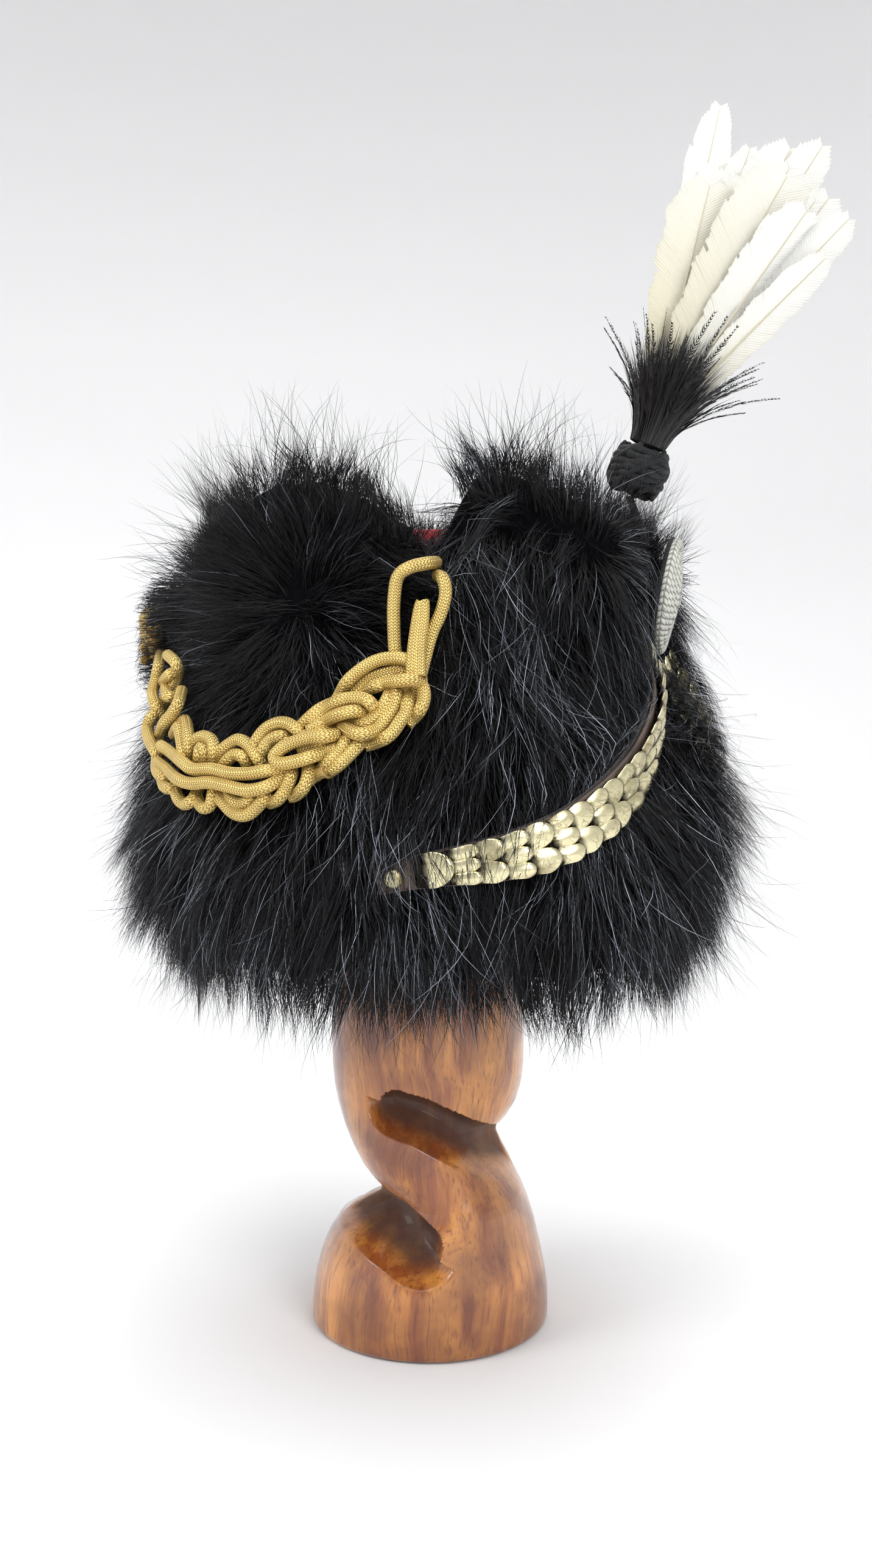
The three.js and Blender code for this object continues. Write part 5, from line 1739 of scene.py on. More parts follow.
@dataclass(frozen=True)
class ChinStrap:
    """The chin strap, hooked up behind the boss: lining, leather, brass scales and two studs."""

    route: tuple[tuple[float, float, float, float], ...] = (
        (34.5, -113, 194, 77), (49, -110, 198, 70), (62, -104.5, 200.3, 64), (72.8, -99, 202.5, 58),
        (81.8, -92, 205.5, 51), (89.2, -83, 210, 41), (95.2, -72.5, 216.2, 28), (99.6, -61.5, 223.8, 13),
        (102.6, -51, 233, -2), (104, -41, 243, -13), (103.6, -31, 253, -19), (100.6, -21.5, 262, -18),
        (97.3, -15.2, 269.5, -10), (94.3, -11.2, 277, 0), (92.8, -9.4, 285, 0), (92.8, -6.6, 290, 0),
        (92.8, 0, 292.5, 0)
    )
    width_places: Numbers = (0, 12, 50, 110, 150, 190)
    widths: Numbers = (8, 10.5, 16.5, 17, 16, 14)
    lining: float = 1.0
    layer_gap: float = 0.8
    leather: float = 1.5
    scale_thickness: float = 0.8
    scale_length: float = 13.6
    scale_count: int = 18
    first_scale: float = 13.0
    scale_pitch: float = 8.4
    scale_tilt: float = 10.8
    scale_overhang: float = 1.6
    notch_stretch: float = 1.3
    stud_place: float = 6.2
    covered_left: tuple[float, float] = (208.0, 284.0)
    furrow_top: float = 273.0

    @property
    def scale_floor(self) -> float:
        """How far the scales' roots lie above the strap's path."""
        return self.lining + self.leather + 2 * self.layer_gap

    def path(self, step: float) -> Path:
        """The strap's middle line from ear to ear.

        Args:
            step: The distance between places on it.

        Returns:
            The path.
        """
        right = np.array(self.route)
        left = right[:-1][::-1] * np.array([1, -1, 1, -1])
        rows = np.vstack([right, left])
        facing = np.radians(rows[:, 3])
        outwards = stack(np.cos(facing), -np.sin(facing), 0 * facing)
        return Path.through(rows[:, :3], outwards, step)

    def width(self, path: Path) -> Array:
        """The strap's width along a path, measured from the nearer ear."""
        nearer = np.minimum(path.along, path.along[-1] - path.along)
        return np.interp(nearer, self.width_places, self.widths)

    def furrows(self) -> list[Furrow]:
        """How the strap presses the coat, on either side.

        Returns:
            The furrows.
        """
        path = self.path(3.0)
        half = self.width(path) / 2
        count = len(path.place)
        height = path.place[:, 2]
        on_right = path.place[:, 1] < 0
        upper = np.where(on_right, np.interp(height, (205, 222, 236, 250), (0.85, 0.5, 0.2, 0.4)), 0.85)
        lower = np.interp(height, (212, 240), (0.34, 1.6))
        rim = np.where(on_right, np.interp(height, (205, 222, 240), (0.8, 0.6, 2.6)), 0.8)
        slopes = stack(upper, lower)
        rims = stack(rim, np.full(count, 0.8))
        low, high = self.covered_left
        over_right = np.interp(path.along, (0, 30, 55, 78), (1.0, 0.6, 0.35, 0.0))
        draped = np.where(on_right, over_right, ((height > low) & (height < high)) * 1.0)
        low_enough = np.flatnonzero(height < self.furrow_top)
        bare = np.flatnonzero(np.diff(low_enough) > 1)[0]
        made = []
        for part in (slice(0, low_enough[bare] + 1), slice(low_enough[bare + 1], count)):
            made.append(
                Furrow(
                    path.place[part],
                    path.out[part],
                    path.across[part],
                    half[part],
                    -0.7,
                    slopes[part],
                    rims[part],
                    draped=draped[part],
                    from_both_sides=part.start > 0,
                    cover=9.5 if part.start > 0 else 6.6,
                )
            )
        return made

    def build(self, wardrobe: Wardrobe) -> None:
        """Builds the layers, the scales and the studs.

        Args:
            wardrobe: The materials.
        """
        path = self.path(2.5)
        width = self.width(path)
        lining = self._layer("strap_lining_cloth", path, width + 0.4, 0.0, self.lining)
        dress(lining, wardrobe.lining, ["strap_lining"])
        floor = self.lining + self.layer_gap
        leather = self._layer("strap_leather_band", path, width, floor, self.leather)
        dress(leather, wardrobe.leather, ["strap_leather"])
        for side in Side:
            self._scales(side, wardrobe)
            self._stud(side, wardrobe)

    @staticmethod
    def _layer(name: str, path: Path, width: Array, floor: float, thickness: float) -> Piece:
        """One layer of the strap with rounded edges.

        Args:
            name: The object's name.
            path: The strap's path.
            width: Its width at each place.
            floor: The layer's underside above the path.
            thickness: The layer's thickness.

        Returns:
            The object.
        """
        low_half = ((-1, 0.25), (-0.96, 0.0), (0.96, 0.0), (1, 0.25))
        shape = (*low_half, (1, 0.75), (0.96, 1.0), (-0.96, 1.0), (-1, 0.75))
        rings = [path.at(width / 2 * across, floor + thickness * up) for across, up in shape]
        sides = len(shape)
        points = np.stack(rings, axis=1)
        count = len(points)
        first = np.arange(sides)[::-1][None]
        last = first[:, ::-1] + (count - 1) * sides
        return mesh_piece(name, points.reshape(-1, 3), [tube_faces(count, sides), first, last])

    def _scales(self, side: Side, wardrobe: Wardrobe) -> None:
        """The overlapping brass scales of one side, as one piece for each.

        Args:
            side: The wearer's side.
            wardrobe: The materials.
        """
        path = self.path(0.5)
        width = self.width(path) + self.scale_overhang
        for number in range(self.scale_count):
            along = self.first_scale + number * self.scale_pitch
            row = int(np.searchsorted(path.along, along + self.scale_length / 2))
            plate, quads, depth = self._plate(width[int(np.searchsorted(path.along, along))], number)
            tilt = math.radians(self.scale_tilt)
            lean = plate[:, 1] * math.sin(tilt) + plate[:, 2] * math.cos(tilt) + self.scale_floor
            forward = plate[:, 1] * math.cos(tilt) - plate[:, 2] * math.sin(tilt) - self.scale_length / 2
            points = (
                path.place[row]
                + path.across[row] * plate[:, :1]
                + path.ahead[row] * forward[:, None]
                + path.out[row] * lean[:, None]
            )
            word = side.name.lower()
            if side is Side.LEFT:
                points = mirrored(points)
                quads = quads[:, ::-1]
            piece = mesh_piece(f"scale_plate_{word}_{number + 1:02d}", points, [quads])
            # The mark carries the painted shadow under the next scale.
            mark(piece, "painted_plate_shadow", depth)
            dress(piece, wardrobe.brass, [f"scale_{word}_{number + 1:02d}"])

    def _plate(self, width: float, number: int) -> tuple[Array, Array, Array]:
        """One brass scale, flat on the ground with its root at the origin.

        Args:
            width: How wide it is.
            number: Its place on the strap.

        Returns:
            Its corners, its faces and how much painted shadow each corner gets from lying under the next
            scale.
        """
        lobes = 1 if number == 0 else 2 + number % 2
        half = width / 2
        lobe = half / lobes
        columns = 14 * lobes + 1
        rows = 10
        middles = -half + lobe * (2 * np.arange(lobes) + 1)
        turn = np.linspace(0, math.pi, 15)[None, :]
        across = (middles[:, None] - lobe * np.cos(turn)).ravel()
        across = np.delete(across, 15 * np.arange(1, lobes))
        arch = np.sqrt(np.maximum(lobe**2 - (across[:, None] - middles[None]) ** 2, 0)).max(1)
        shoulder = self.scale_length - self.notch_stretch * lobe
        reach = shoulder + self.notch_stretch * arch
        share = np.linspace(0, 1, rows)
        forward = share[None, :] * reach[:, None]
        narrow = 0.8 + 0.2 * np.minimum(forward / shoulder, 1)
        sideways = across[:, None] * narrow
        nearest = np.abs(across[:, None] - middles[None]).min(1) / lobe
        dome = 0.9 * (1 - nearest[:, None] ** 2) * np.sin(math.pi * np.clip(share, 0, 0.97))[None]
        rolled = 0.35 * ramp_up(share, 0.86, 0.14) ** 2
        top = self.scale_thickness + dome - rolled[None]
        bottom = np.zeros_like(top) + dome * 0.6
        upper = stack(sideways, forward, top).reshape(-1, 3)
        lower = stack(sideways, forward, bottom).reshape(-1, 3)
        grid = np.arange(columns * rows).reshape(columns, rows)
        shell = columns * rows
        top_faces = stack(grid[:-1, :-1], grid[1:, :-1], grid[1:, 1:], grid[:-1, 1:]).reshape(-1, 4)
        low_faces = top_faces[:, ::-1] + shell
        edge = np.concatenate([grid[:, 0], grid[-1, 1:], grid[-2::-1, -1], grid[0, -2:0:-1]])
        following = np.roll(edge, -1)
        walls = stack(edge, edge + shell, following + shell, following)
        # Painted shadow on the part that lies under the next scale.
        depth = np.clip((self.scale_length - self.scale_pitch - 0.1 - upper[:, 1]) / 0.8, 0, 1)
        faces = np.concatenate([top_faces, low_faces, walls])
        return np.vstack([upper, lower]), faces, np.concatenate([depth, depth])

    def _stud(self, side: Side, wardrobe: Wardrobe) -> None:
        """The stud at the strap's end: a domed head with a collar, on its shank.

        Args:
            side: The wearer's side.
            wardrobe: The materials.
        """
        path = self.path(0.5)
        row = int(np.searchsorted(path.along, self.stud_place))
        turn = Matrix(stack(path.across[row], path.ahead[row], path.out[row]).tolist()).to_4x4()
        word = side.name.lower()
        Bench.deselect()
        bpy.ops.mesh.primitive_uv_sphere_add(segments=24, ring_count=12, radius=3.4 * MM)
        head = Bench.named(f"stud_head_{word}")

        def shaped(points: Array) -> Array:
            """Flattens the ball to a dome and draws its underside to a shank.

            Args:
                points: The points.

            Returns:
                The moved points.
            """
            dome = points.copy()
            dome[:, 2] *= 0.62
            low = points[:, 2] < -0.5
            dome[low, 0] *= 0.42
            dome[low, 1] *= 0.42
            dome[low, 2] = points[low, 2] * 3.6
            dome[:, 2] += self.scale_floor + 0.4
            return dome

        Bench.reshape(head, shaped)
        head.matrix_world = Matrix.Translation(Vector(path.place[row] * MM)) @ turn
        Bench.settle(head)
        if side is Side.LEFT:
            Bench.reshape(head, mirrored)
            with Bench.editing(head):
                bpy.ops.mesh.flip_normals()
        Bench.smooth(head, 50)
        dress(head, wardrobe.brass, [f"stud_{word}"])


# The plaited gilt cord


@dataclass(frozen=True)
class GiltPlait:
    """The plait of doubled gilt cord with the loops that hang it from the rim."""

    form: FurForm
    turns: Numbers = (67.5, 73, 78, 84, 92, 100, 108, 117, 127, 139, 152, 165, 177)
    heights: Numbers = (268, 260, 251, 241, 230, 224, 227, 241, 260, 279, 292, 298, 299)
    halves: Numbers = (11, 13, 13.5, 13.5, 12.5, 13.5, 13, 12, 11, 11, 11, 11, 10)
    lift: float = 3.2
    radius: float = 2.35
    cords: tuple[tuple[tuple[float, float, int], ...], ...] = (
        ((83.2, 255.2, 0), (82.5, 258.2, 0), (81.0, 261.8, 1), (79.5, 265.2, 1), (77.5, 268.2, 1),
         (75.5, 269.8, 1), (73.2, 270.2, 1), (71.2, 269.2, 1), (69.8, 266.5, 1), (69.2, 263.8, 0),
         (69.2, 260.0, 0)),
        ((80.2, 258.0, 0), (78.5, 261.8, 0), (76.8, 264.0, 0), (75.0, 265.2, 0), (73.2, 266.0, 0),
         (71.5, 265.0, 0)),
        ((79.8, 257.2, 0), (78.2, 259.2, 0), (76.2, 260.2, 1), (74.5, 261.5, 1), (72.0, 261.8, 2),
         (70.2, 262.0, 2), (69.0, 261.0, 1), (68.5, 258.2, 1), (68.5, 255.2, 1), (69.0, 252.0, 1),
         (70.0, 249.8, 0), (71.2, 247.2, 0)),
        ((73.5, 261.2, 0), (72.2, 260.0, 0), (71.2, 257.8, 0), (71.0, 254.5, 1), (71.2, 251.2, 1),
         (72.0, 248.0, 1), (73.0, 244.5, 1), (74.2, 242.2, 1), (76.0, 241.0, 0), (77.5, 240.2, 0)),
        ((70.5, 260.0, 0), (69.8, 257.2, 0), (69.8, 254.0, 0), (70.2, 251.0, 0), (71.2, 248.0, 0)),
        ((73.5, 260.5, 0), (72.8, 257.0, 1), (73.2, 253.0, 1), (74.2, 249.2, 1), (75.5, 245.5, 1),
         (76.8, 243.8, 2), (78.2, 244.0, 2), (80.2, 246.0, 1), (81.8, 248.0, 0)),
        ((74.2, 259.2, 0), (74.2, 255.5, 1), (75.2, 251.8, 1), (76.5, 248.8, 1), (77.8, 247.2, 1),
         (80.0, 247.8, 0)),
        ((86.2, 247.8, 1), (85.2, 250.2, 1), (83.8, 252.8, 1), (81.5, 255.0, 2), (79.5, 256.0, 2),
         (77.5, 255.8, 2), (76.2, 254.0, 2), (76.2, 252.2, 1), (77.2, 250.5, 0)),
        ((86.2, 245.0, 1), (85.0, 246.8, 1), (83.5, 248.8, 1), (81.0, 250.5, 2), (78.8, 251.5, 2),
         (77.8, 251.2, 1), (77.2, 250.8, 0)),
        ((81.0, 246.8, 0), (82.8, 245.0, 0), (83.8, 244.2, 1), (85.8, 243.8, 1), (87.5, 242.8, 1)),
        ((80.8, 244.0, 0), (82.5, 242.0, 0), (84.0, 240.8, 1), (85.8, 239.8, 1), (87.5, 239.0, 1)),
        ((79.5, 244.5, 0), (80.0, 241.5, 1), (81.0, 238.0, 1), (82.5, 234.5, 1), (84.2, 231.8, 0),
         (85.2, 229.5, 0)),
        ((77.5, 242.8, 0), (78.2, 239.8, 1), (79.5, 236.5, 1), (81.0, 233.2, 1), (83.2, 230.8, 0)),
        ((83.8, 254.8, 0), (85.0, 252.5, 1), (86.8, 249.0, 1), (89.0, 246.0, 0)),
        ((83.2, 249.5, 0), (84.2, 247.5, 1), (86.8, 245.2, 0), (87.8, 242.8, 0)),
        ((97.5, 238.2, 0), (95.5, 241.0, 1), (94.2, 245.5, 1), (92.2, 248.0, 1), (90.0, 247.8, 1),
         (88.0, 245.2, 1), (87.5, 242.2, 0)),
        ((95.8, 235.0, 0), (93.8, 238.5, 1), (92.8, 242.0, 1), (91.0, 243.5, 1), (90.0, 242.2, 0)),
        ((104.2, 234.5, 0), (101.8, 238.8, 1), (100.2, 241.5, 1), (98.5, 242.5, 1), (96.2, 240.0, 1),
         (94.5, 236.0, 1), (93.8, 231.8, 0)),
        ((103.2, 230.8, 0), (100.5, 235.0, 1), (99.0, 237.2, 1), (97.2, 236.2, 1), (97.2, 232.5, 0)),
        ((110.5, 234.8, 0), (110.5, 240.0, 0), (108.5, 242.8, 1), (106.8, 244.2, 1), (104.5, 242.5, 1),
         (103.5, 238.2, 1), (104.5, 232.8, 0)),
        ((108.2, 232.0, 0), (106.8, 237.0, 1), (106.8, 240.2, 1), (105.5, 238.2, 1), (106.5, 232.8, 0)),
        ((118.2, 248.2, 0), (116.2, 251.0, 0), (111.2, 245.8, 1), (109.8, 240.5, 1), (111.2, 234.8, 0)),
        ((118.5, 245.8, 0), (114.5, 248.0, 1), (112.5, 243.2, 1), (111.0, 238.0, 1), (111.8, 233.5, 0)),
        ((81.5, 243.8, 1), (82.8, 243.0, 2), (85.2, 242.5, 2), (87.8, 241.0, 2), (89.5, 239.0, 2),
         (90.5, 236.2, 2), (89.5, 234.0, 2), (87.2, 234.5, 2), (84.8, 236.0, 2), (83.2, 237.8, 1),
         (81.2, 238.8, 1)),
        ((118.8, 241.5, 1), (114.8, 238.8, 1), (108.2, 234.5, 2), (105.5, 232.2, 2), (101.5, 232.2, 2),
         (98.2, 230.8, 2), (94.8, 230.5, 2), (91.5, 231.5, 2), (89.5, 232.8, 1), (89.0, 234.2, 0)),
        ((118.8, 235.5, 1), (114.8, 232.5, 1), (108.8, 228.8, 2), (105.5, 227.2, 2), (101.5, 227.5, 2),
         (97.8, 226.2, 2), (94.2, 224.8, 2), (91.2, 226.0, 2), (89.8, 228.8, 1), (89.2, 230.5, 0)),
        ((103.2, 224.2, 0), (99.8, 220.8, 1), (97.5, 217.2, 1), (95.2, 216.2, 1), (93.5, 218.5, 1),
         (92.2, 222.5, 1), (93.2, 226.2, 0)),
        ((101.5, 224.5, 0), (98.0, 221.2, 1), (96.0, 220.2, 1), (94.5, 222.0, 1), (95.2, 225.0, 0)),
        ((114.0, 227.0, 0), (110.2, 222.5, 1), (108.0, 219.8, 1), (106.2, 221.5, 1), (107.5, 225.0, 0)),
        ((107.8, 223.0, 0), (103.8, 218.8, 1), (102.2, 219.5, 1), (102.0, 223.8, 1), (104.0, 228.2, 0)),
        ((89.5, 234.2, 0), (88.2, 230.0, 1), (88.8, 225.8, 1), (89.8, 222.0, 1), (92.2, 220.5, 0)),
        ((86.5, 234.2, 0), (85.5, 230.0, 1), (86.0, 225.8, 1), (88.0, 223.2, 0), (89.0, 222.8, 0)),
        ((82.5, 231.8, 1), (85.0, 230.2, 0), (86.2, 228.0, 0)),
        ((127.8, 256.5, 0), (126.5, 253.8, 1), (127.2, 249.0, 1), (124.2, 244.0, 1), (120.0, 239.0, 1),
         (121.0, 235.0, 0)),
        ((120.8, 263.0, 0), (117.0, 257.5, 1), (118.0, 253.5, 1), (120.0, 249.8, 1), (124.5, 245.5, 0)),
        ((122.8, 236.5, 0), (117.8, 231.8, 1), (115.0, 229.5, 1), (115.0, 230.2, 0)),
        ((119.2, 229.5, 0), (114.2, 226.0, 1), (111.8, 225.5, 1), (113.5, 228.2, 0)),
        ((144.0, 283.2, 0), (133.5, 275.2, 1), (132.8, 269.5, 1), (131.5, 263.5, 1), (127.0, 258.0, 1),
         (126.5, 254.0, 0)),
        ((127.2, 277.8, 1), (122.8, 273.5, 1), (125.2, 268.5, 0), (126.8, 263.0, 0), (128.5, 258.2, 0)),
        ((125.5, 271.2, 0), (124.5, 269.5, 1), (135.2, 267.0, 0)),
        ((131.0, 267.2, 0), (122.2, 261.0, 1), (122.2, 260.5, 0)),
    )
    levels: Spot = (3.6, 7.4, 11.2)
    rear_from: float = 138.0
    bend_pitch: float = 25.5
    bend_start: float = 0.35
    rise: float = 2.6
    crowd: float = 0.5

    def path(self, step: float) -> Path:
        """The plait's middle line.

        Args:
            step: The distance between places on it.

        Returns:
            The path.
        """
        turn = np.array(self.turns)
        height = np.array(self.heights, float)
        points = self.form.point(turn, height, self.lift)
        return Path.through(points, self.form.outward(turn, height), step)

    def _half(self, path: Path) -> Array:
        """The plait's half width at each place of its path."""
        share = np.linspace(0, 1, len(path.place)) * (len(self.halves) - 1)
        return np.interp(share, np.arange(len(self.halves)), self.halves)

    def furrows(self) -> list[Furrow]:
        """How plait and hanging cords press the coat, on either side.

        Returns:
            The furrows.
        """
        made = []
        path = self.path(4.0)
        half = self._half(path) + 1.5
        for turned in (path, path.mirrored()):
            furrow = Furrow.even(turned, half, -0.6, 0.7, 30.0)
            at_rear = np.linspace(0, len(self.turns) - 1, len(path.place))
            rear = np.interp(at_rear, range(len(self.turns)), self.turns)
            furrow.draped = 0.6 * ramp_up(rear, 129, 5)
            furrow.from_both_sides = True
            furrow.cover = 8.5
            made.append(furrow)
        for route in self._hanger_routes():
            line = Path.through(self.form.point(*route), self.form.outward(route[0], route[1]), 3.0)
            for turned in (line, line.mirrored()):
                made.append(Furrow.even(turned, np.full(len(turned.place), 3.2), -2.4, 1.4, 16.0))
        return made

    @staticmethod
    def _hanger_routes() -> list[tuple[Array, Array, Array]]:
        """The hanging cords' routes, as turns, heights and lifts off the fur.

        Returns:
            One route for each cord.
        """
        rear = (
            (66.8, 68.5, 71.2, 73.3, 74, 74, 73.6, 72.6, 71.5),
            (319, 314, 308, 301, 291, 282, 272, 263, 258), (-6, 1.5, 4, 3.5, 3, 3.5, 4.0, 1.5, 1)
        )
        front = (
            (66.5, 65.6, 65.1, 65.9, 67.4, 68.6, 69.6), (306, 300, 293, 286, 279, 270, 261),
            (-5, 1.5, 3.5, 4, 4.5, 4, 2)
        )
        return [tuple(np.array(row, float) for row in route) for route in (rear, front)]

    def build(self, side: Side, wardrobe: Wardrobe) -> None:
        """Builds one side's plait and hanging cords.

        Args:
            side: The wearer's side.
            wardrobe: The materials.
        """
        word = side.name.lower()
        heap = MeshHeap()
        for line in self._traced_lines() + self._rear_lines() + self._hanging_lines():
            cord(heap, line if side is Side.RIGHT else mirrored(line), self.radius, 12)
        piece = heap.piece(f"gilt_plait_{word}")
        dress(piece, wardrobe.gilt, [f"cord_plait_{word}"])

    def _traced_lines(self) -> list[Array]:
        """The middle lines of the cords that the photograph shows.

        Returns:
            One line for each cord.
        """
        lines = []
        for rows in self.cords:
            turn, height, level = np.array(rows, float).T
            lift = np.array(self.levels)[level.astype(int)]
            lines.append(self._smooth(self.form.point(turn, height, lift)))
        return lines

    def _rear_lines(self) -> list[Array]:
        """The middle lines of the six cords at the back, a plain plait of three doubled cords.

        Returns:
            One line for each cord.
        """
        path = self.path(1.0)
        start_turn = np.interp(self.rear_from, self.turns, np.arange(len(self.turns)) / (len(self.turns) - 1))
        begin = start_turn * path.along[-1]
        length = path.along[-1]
        half = self._half(path)
        period = 3 * self.bend_pitch
        lines = []
        for strand in range(3):
            start = -strand / 3
            phase = 2 * math.pi * np.linspace(0, length / period, int(length * 1.1))
            angle = phase + 2 * math.pi * (self.bend_start + start)
            ahead = period / (2 * math.pi) * (phase + 0.5 * self.crowd * np.sin(2 * angle))
            angle = angle[ahead > begin]
            ahead = np.clip(ahead[ahead > begin], begin, length)
            reach = np.interp(ahead, path.along, half) - 2 * self.radius
            sway = reach * np.sin(angle)
            out = self.radius + self.rise * (1 + np.sin(2 * angle + 0.15))
            middle = self._on(path, ahead, sway, out)
            facing = self._spread(path, path.out, ahead)
            forward = unit(np.gradient(middle, axis=0))
            beside = unit(np.cross(forward, facing))
            for hand in (-1, 1):
                lines.append(middle + beside * (hand * self.radius * 1.02))
        return lines

    @staticmethod
    def _spread(path: Path, values: Array, along: Array) -> Array:
        """Values of a path at any distance along it."""
        return np.stack([np.interp(along, path.along, values[:, axis]) for axis in range(3)], -1)

    def _on(self, path: Path, along: Array, across: Array, out: Array) -> Array:
        """Points set off from a path at any distance along it.

        Args:
            path: The path.
            along: The distance along it, one for each point.
            across: How far each point lies to its side.
            out: How far each point stands off it.

        Returns:
            The points.
        """
        place = self._spread(path, path.place, along)
        sideways = self._spread(path, path.across, along)
        outward = self._spread(path, path.out, along)
        return place + sideways * across[:, None] + outward * out[:, None]

    def _hanging_lines(self) -> list[Array]:
        """The middle lines of the hanging cords, the short loop and the loop round the end.

        Returns:
            One line for each cord.
        """
        lines = []
        for route in self._hanger_routes():
            lines.append(self._smooth(self.form.point(*route)))
        turn = np.array([70.4, 70.2, 69.8, 69.3, 68.9, 68.9, 69.2, 69.2])
        height = np.array([262, 272, 281, 287.5, 289.5, 284, 275, 263], float)
        lift = np.array([8.5, 9.5, 7.5, 6.0, 5.8, 7.0, 9.5, 9.5])
        lines.append(self._smooth(self.form.point(turn, height, lift)))
        return lines

    @staticmethod
    def _smooth(points: Array) -> Array:
        """A smooth line through points, about one point each millimetre."""
        outwards = np.tile([0.0, 0.0, 1.0], (len(points), 1)) + points * 1e-3
        return Path.through(points, outwards, 1.0).place


# The boss


@dataclass(frozen=True)
class Boss:
    """The oval boss: rings of silver-white cord on a stiff pad."""

    centre: Spot = (103.8, 0.0, 301.0)
    height: float = 46.0
    width: float = 37.0
    thickness: float = 5.0
    tilt: float = 10.0
    aside: float = 9.0
    rings: int = 5
    cord_radius: float = 2.1
    dome: float = 0.75

    def turn(self) -> Matrix:
        """The boss's place: its own Z is the way out and its X is down.

        Returns:
            The frame.
        """
        place = Matrix.Translation(Vector(self.centre) * MM)
        tilted = Matrix.Rotation(math.radians(90 + self.tilt), 4, "Y")
        return place @ Matrix.Rotation(math.radians(self.aside), 4, "Z") @ tilted

    def furrow(self) -> Furrow:
        """How the boss presses the coat, lower on the wearer's right.

        Returns:
            The furrow.
        """
        axes = np.array(self.turn())[:3, :3]
        rows = np.linspace(-1, 1, 13)
        place = np.array(self.centre) - axes[:, 0] * (rows * (self.height / 2 - 2))[:, None]
        half = self.width / 2 * np.sqrt(np.maximum(1 - rows**2 * 0.92, 0.05))
        count = len(rows)
        slopes = np.tile([0.5, 1.1], (count, 1))
        rims = np.tile([-1.2, -1.0], (count, 1))
        out = np.tile(axes[:, 2], (count, 1))
        return Furrow(place, out, np.tile(axes[:, 1], (count, 1)), half, -3.4, slopes, rims, reach=12.0)

    def build(self, wardrobe: Wardrobe) -> None:
        """Builds the pad and its rings of cord.

        Args:
            wardrobe: The materials.
        """
        Bench.deselect()
        bpy.ops.mesh.primitive_cylinder_add(
            vertices=64, radius=(self.height / 2 - 1.2) * MM, depth=(self.thickness - 1.6) * MM
        )
        pad = Bench.named("boss_pad")
        with Bench.editing(pad):
            bpy.ops.mesh.bevel(offset=0.9 * MM, segments=3, affect="EDGES")
        ratio = self.width / self.height
        Bench.reshape(pad, lambda points: points * np.array([1.0, ratio, 1.0]) - np.array([0.0, 0.0, 0.7]))
        pad.matrix_world = self.turn() @ pad.matrix_world
        Bench.settle(pad)
        Bench.smooth(pad)
        dress(pad, wardrobe.lining)
        heap = MeshHeap()
        outer = self.height / 2 - self.cord_radius
        pitch = outer / (self.rings - 0.4)
        for number in range(self.rings):
            length = outer - pitch * number
            width = max(self.width / 2 - self.cord_radius - pitch * number * 0.98, 0.4)
            self._ring(heap, length, width, 0.3 + self.dome * number, self.cord_radius)
        dress(heap.piece("boss_cord_rings"), wardrobe.silver, ["boss"])
        edging = MeshHeap()
        self._ring(edging, self.height / 2 - 0.5, self.width / 2 - 0.5, -1.7, 0.9)
        dress(edging.piece("boss_black_edging"), wardrobe.black_cord)

    def _ring(self, heap: MeshHeap, length: float, width: float, rise: float, radius: float) -> None:
        """Adds one oval ring of cord.

        Args:
            heap: Where it goes.
            length: Its half length.
            width: Its half width.
            rise: How far in front of the boss's middle it lies.
            radius: The cord's radius.
        """
        angle = np.linspace(0, 2 * math.pi, max(int(5 * length), 24), endpoint=False)
        ring = stack(length * np.cos(angle), width * np.sin(angle), np.full(len(angle), rise))
        cord(heap, placed(ring, self.turn()), radius, 12, closed=True)


# The plume


@dataclass(frozen=True)
class Feather:
    """One white feather: how it leans and turns, and its size."""

    lean: float
    splay: float
    length: float
    width: float
    roll: float
    curl: float = 3.0
    cream: float = 0.0


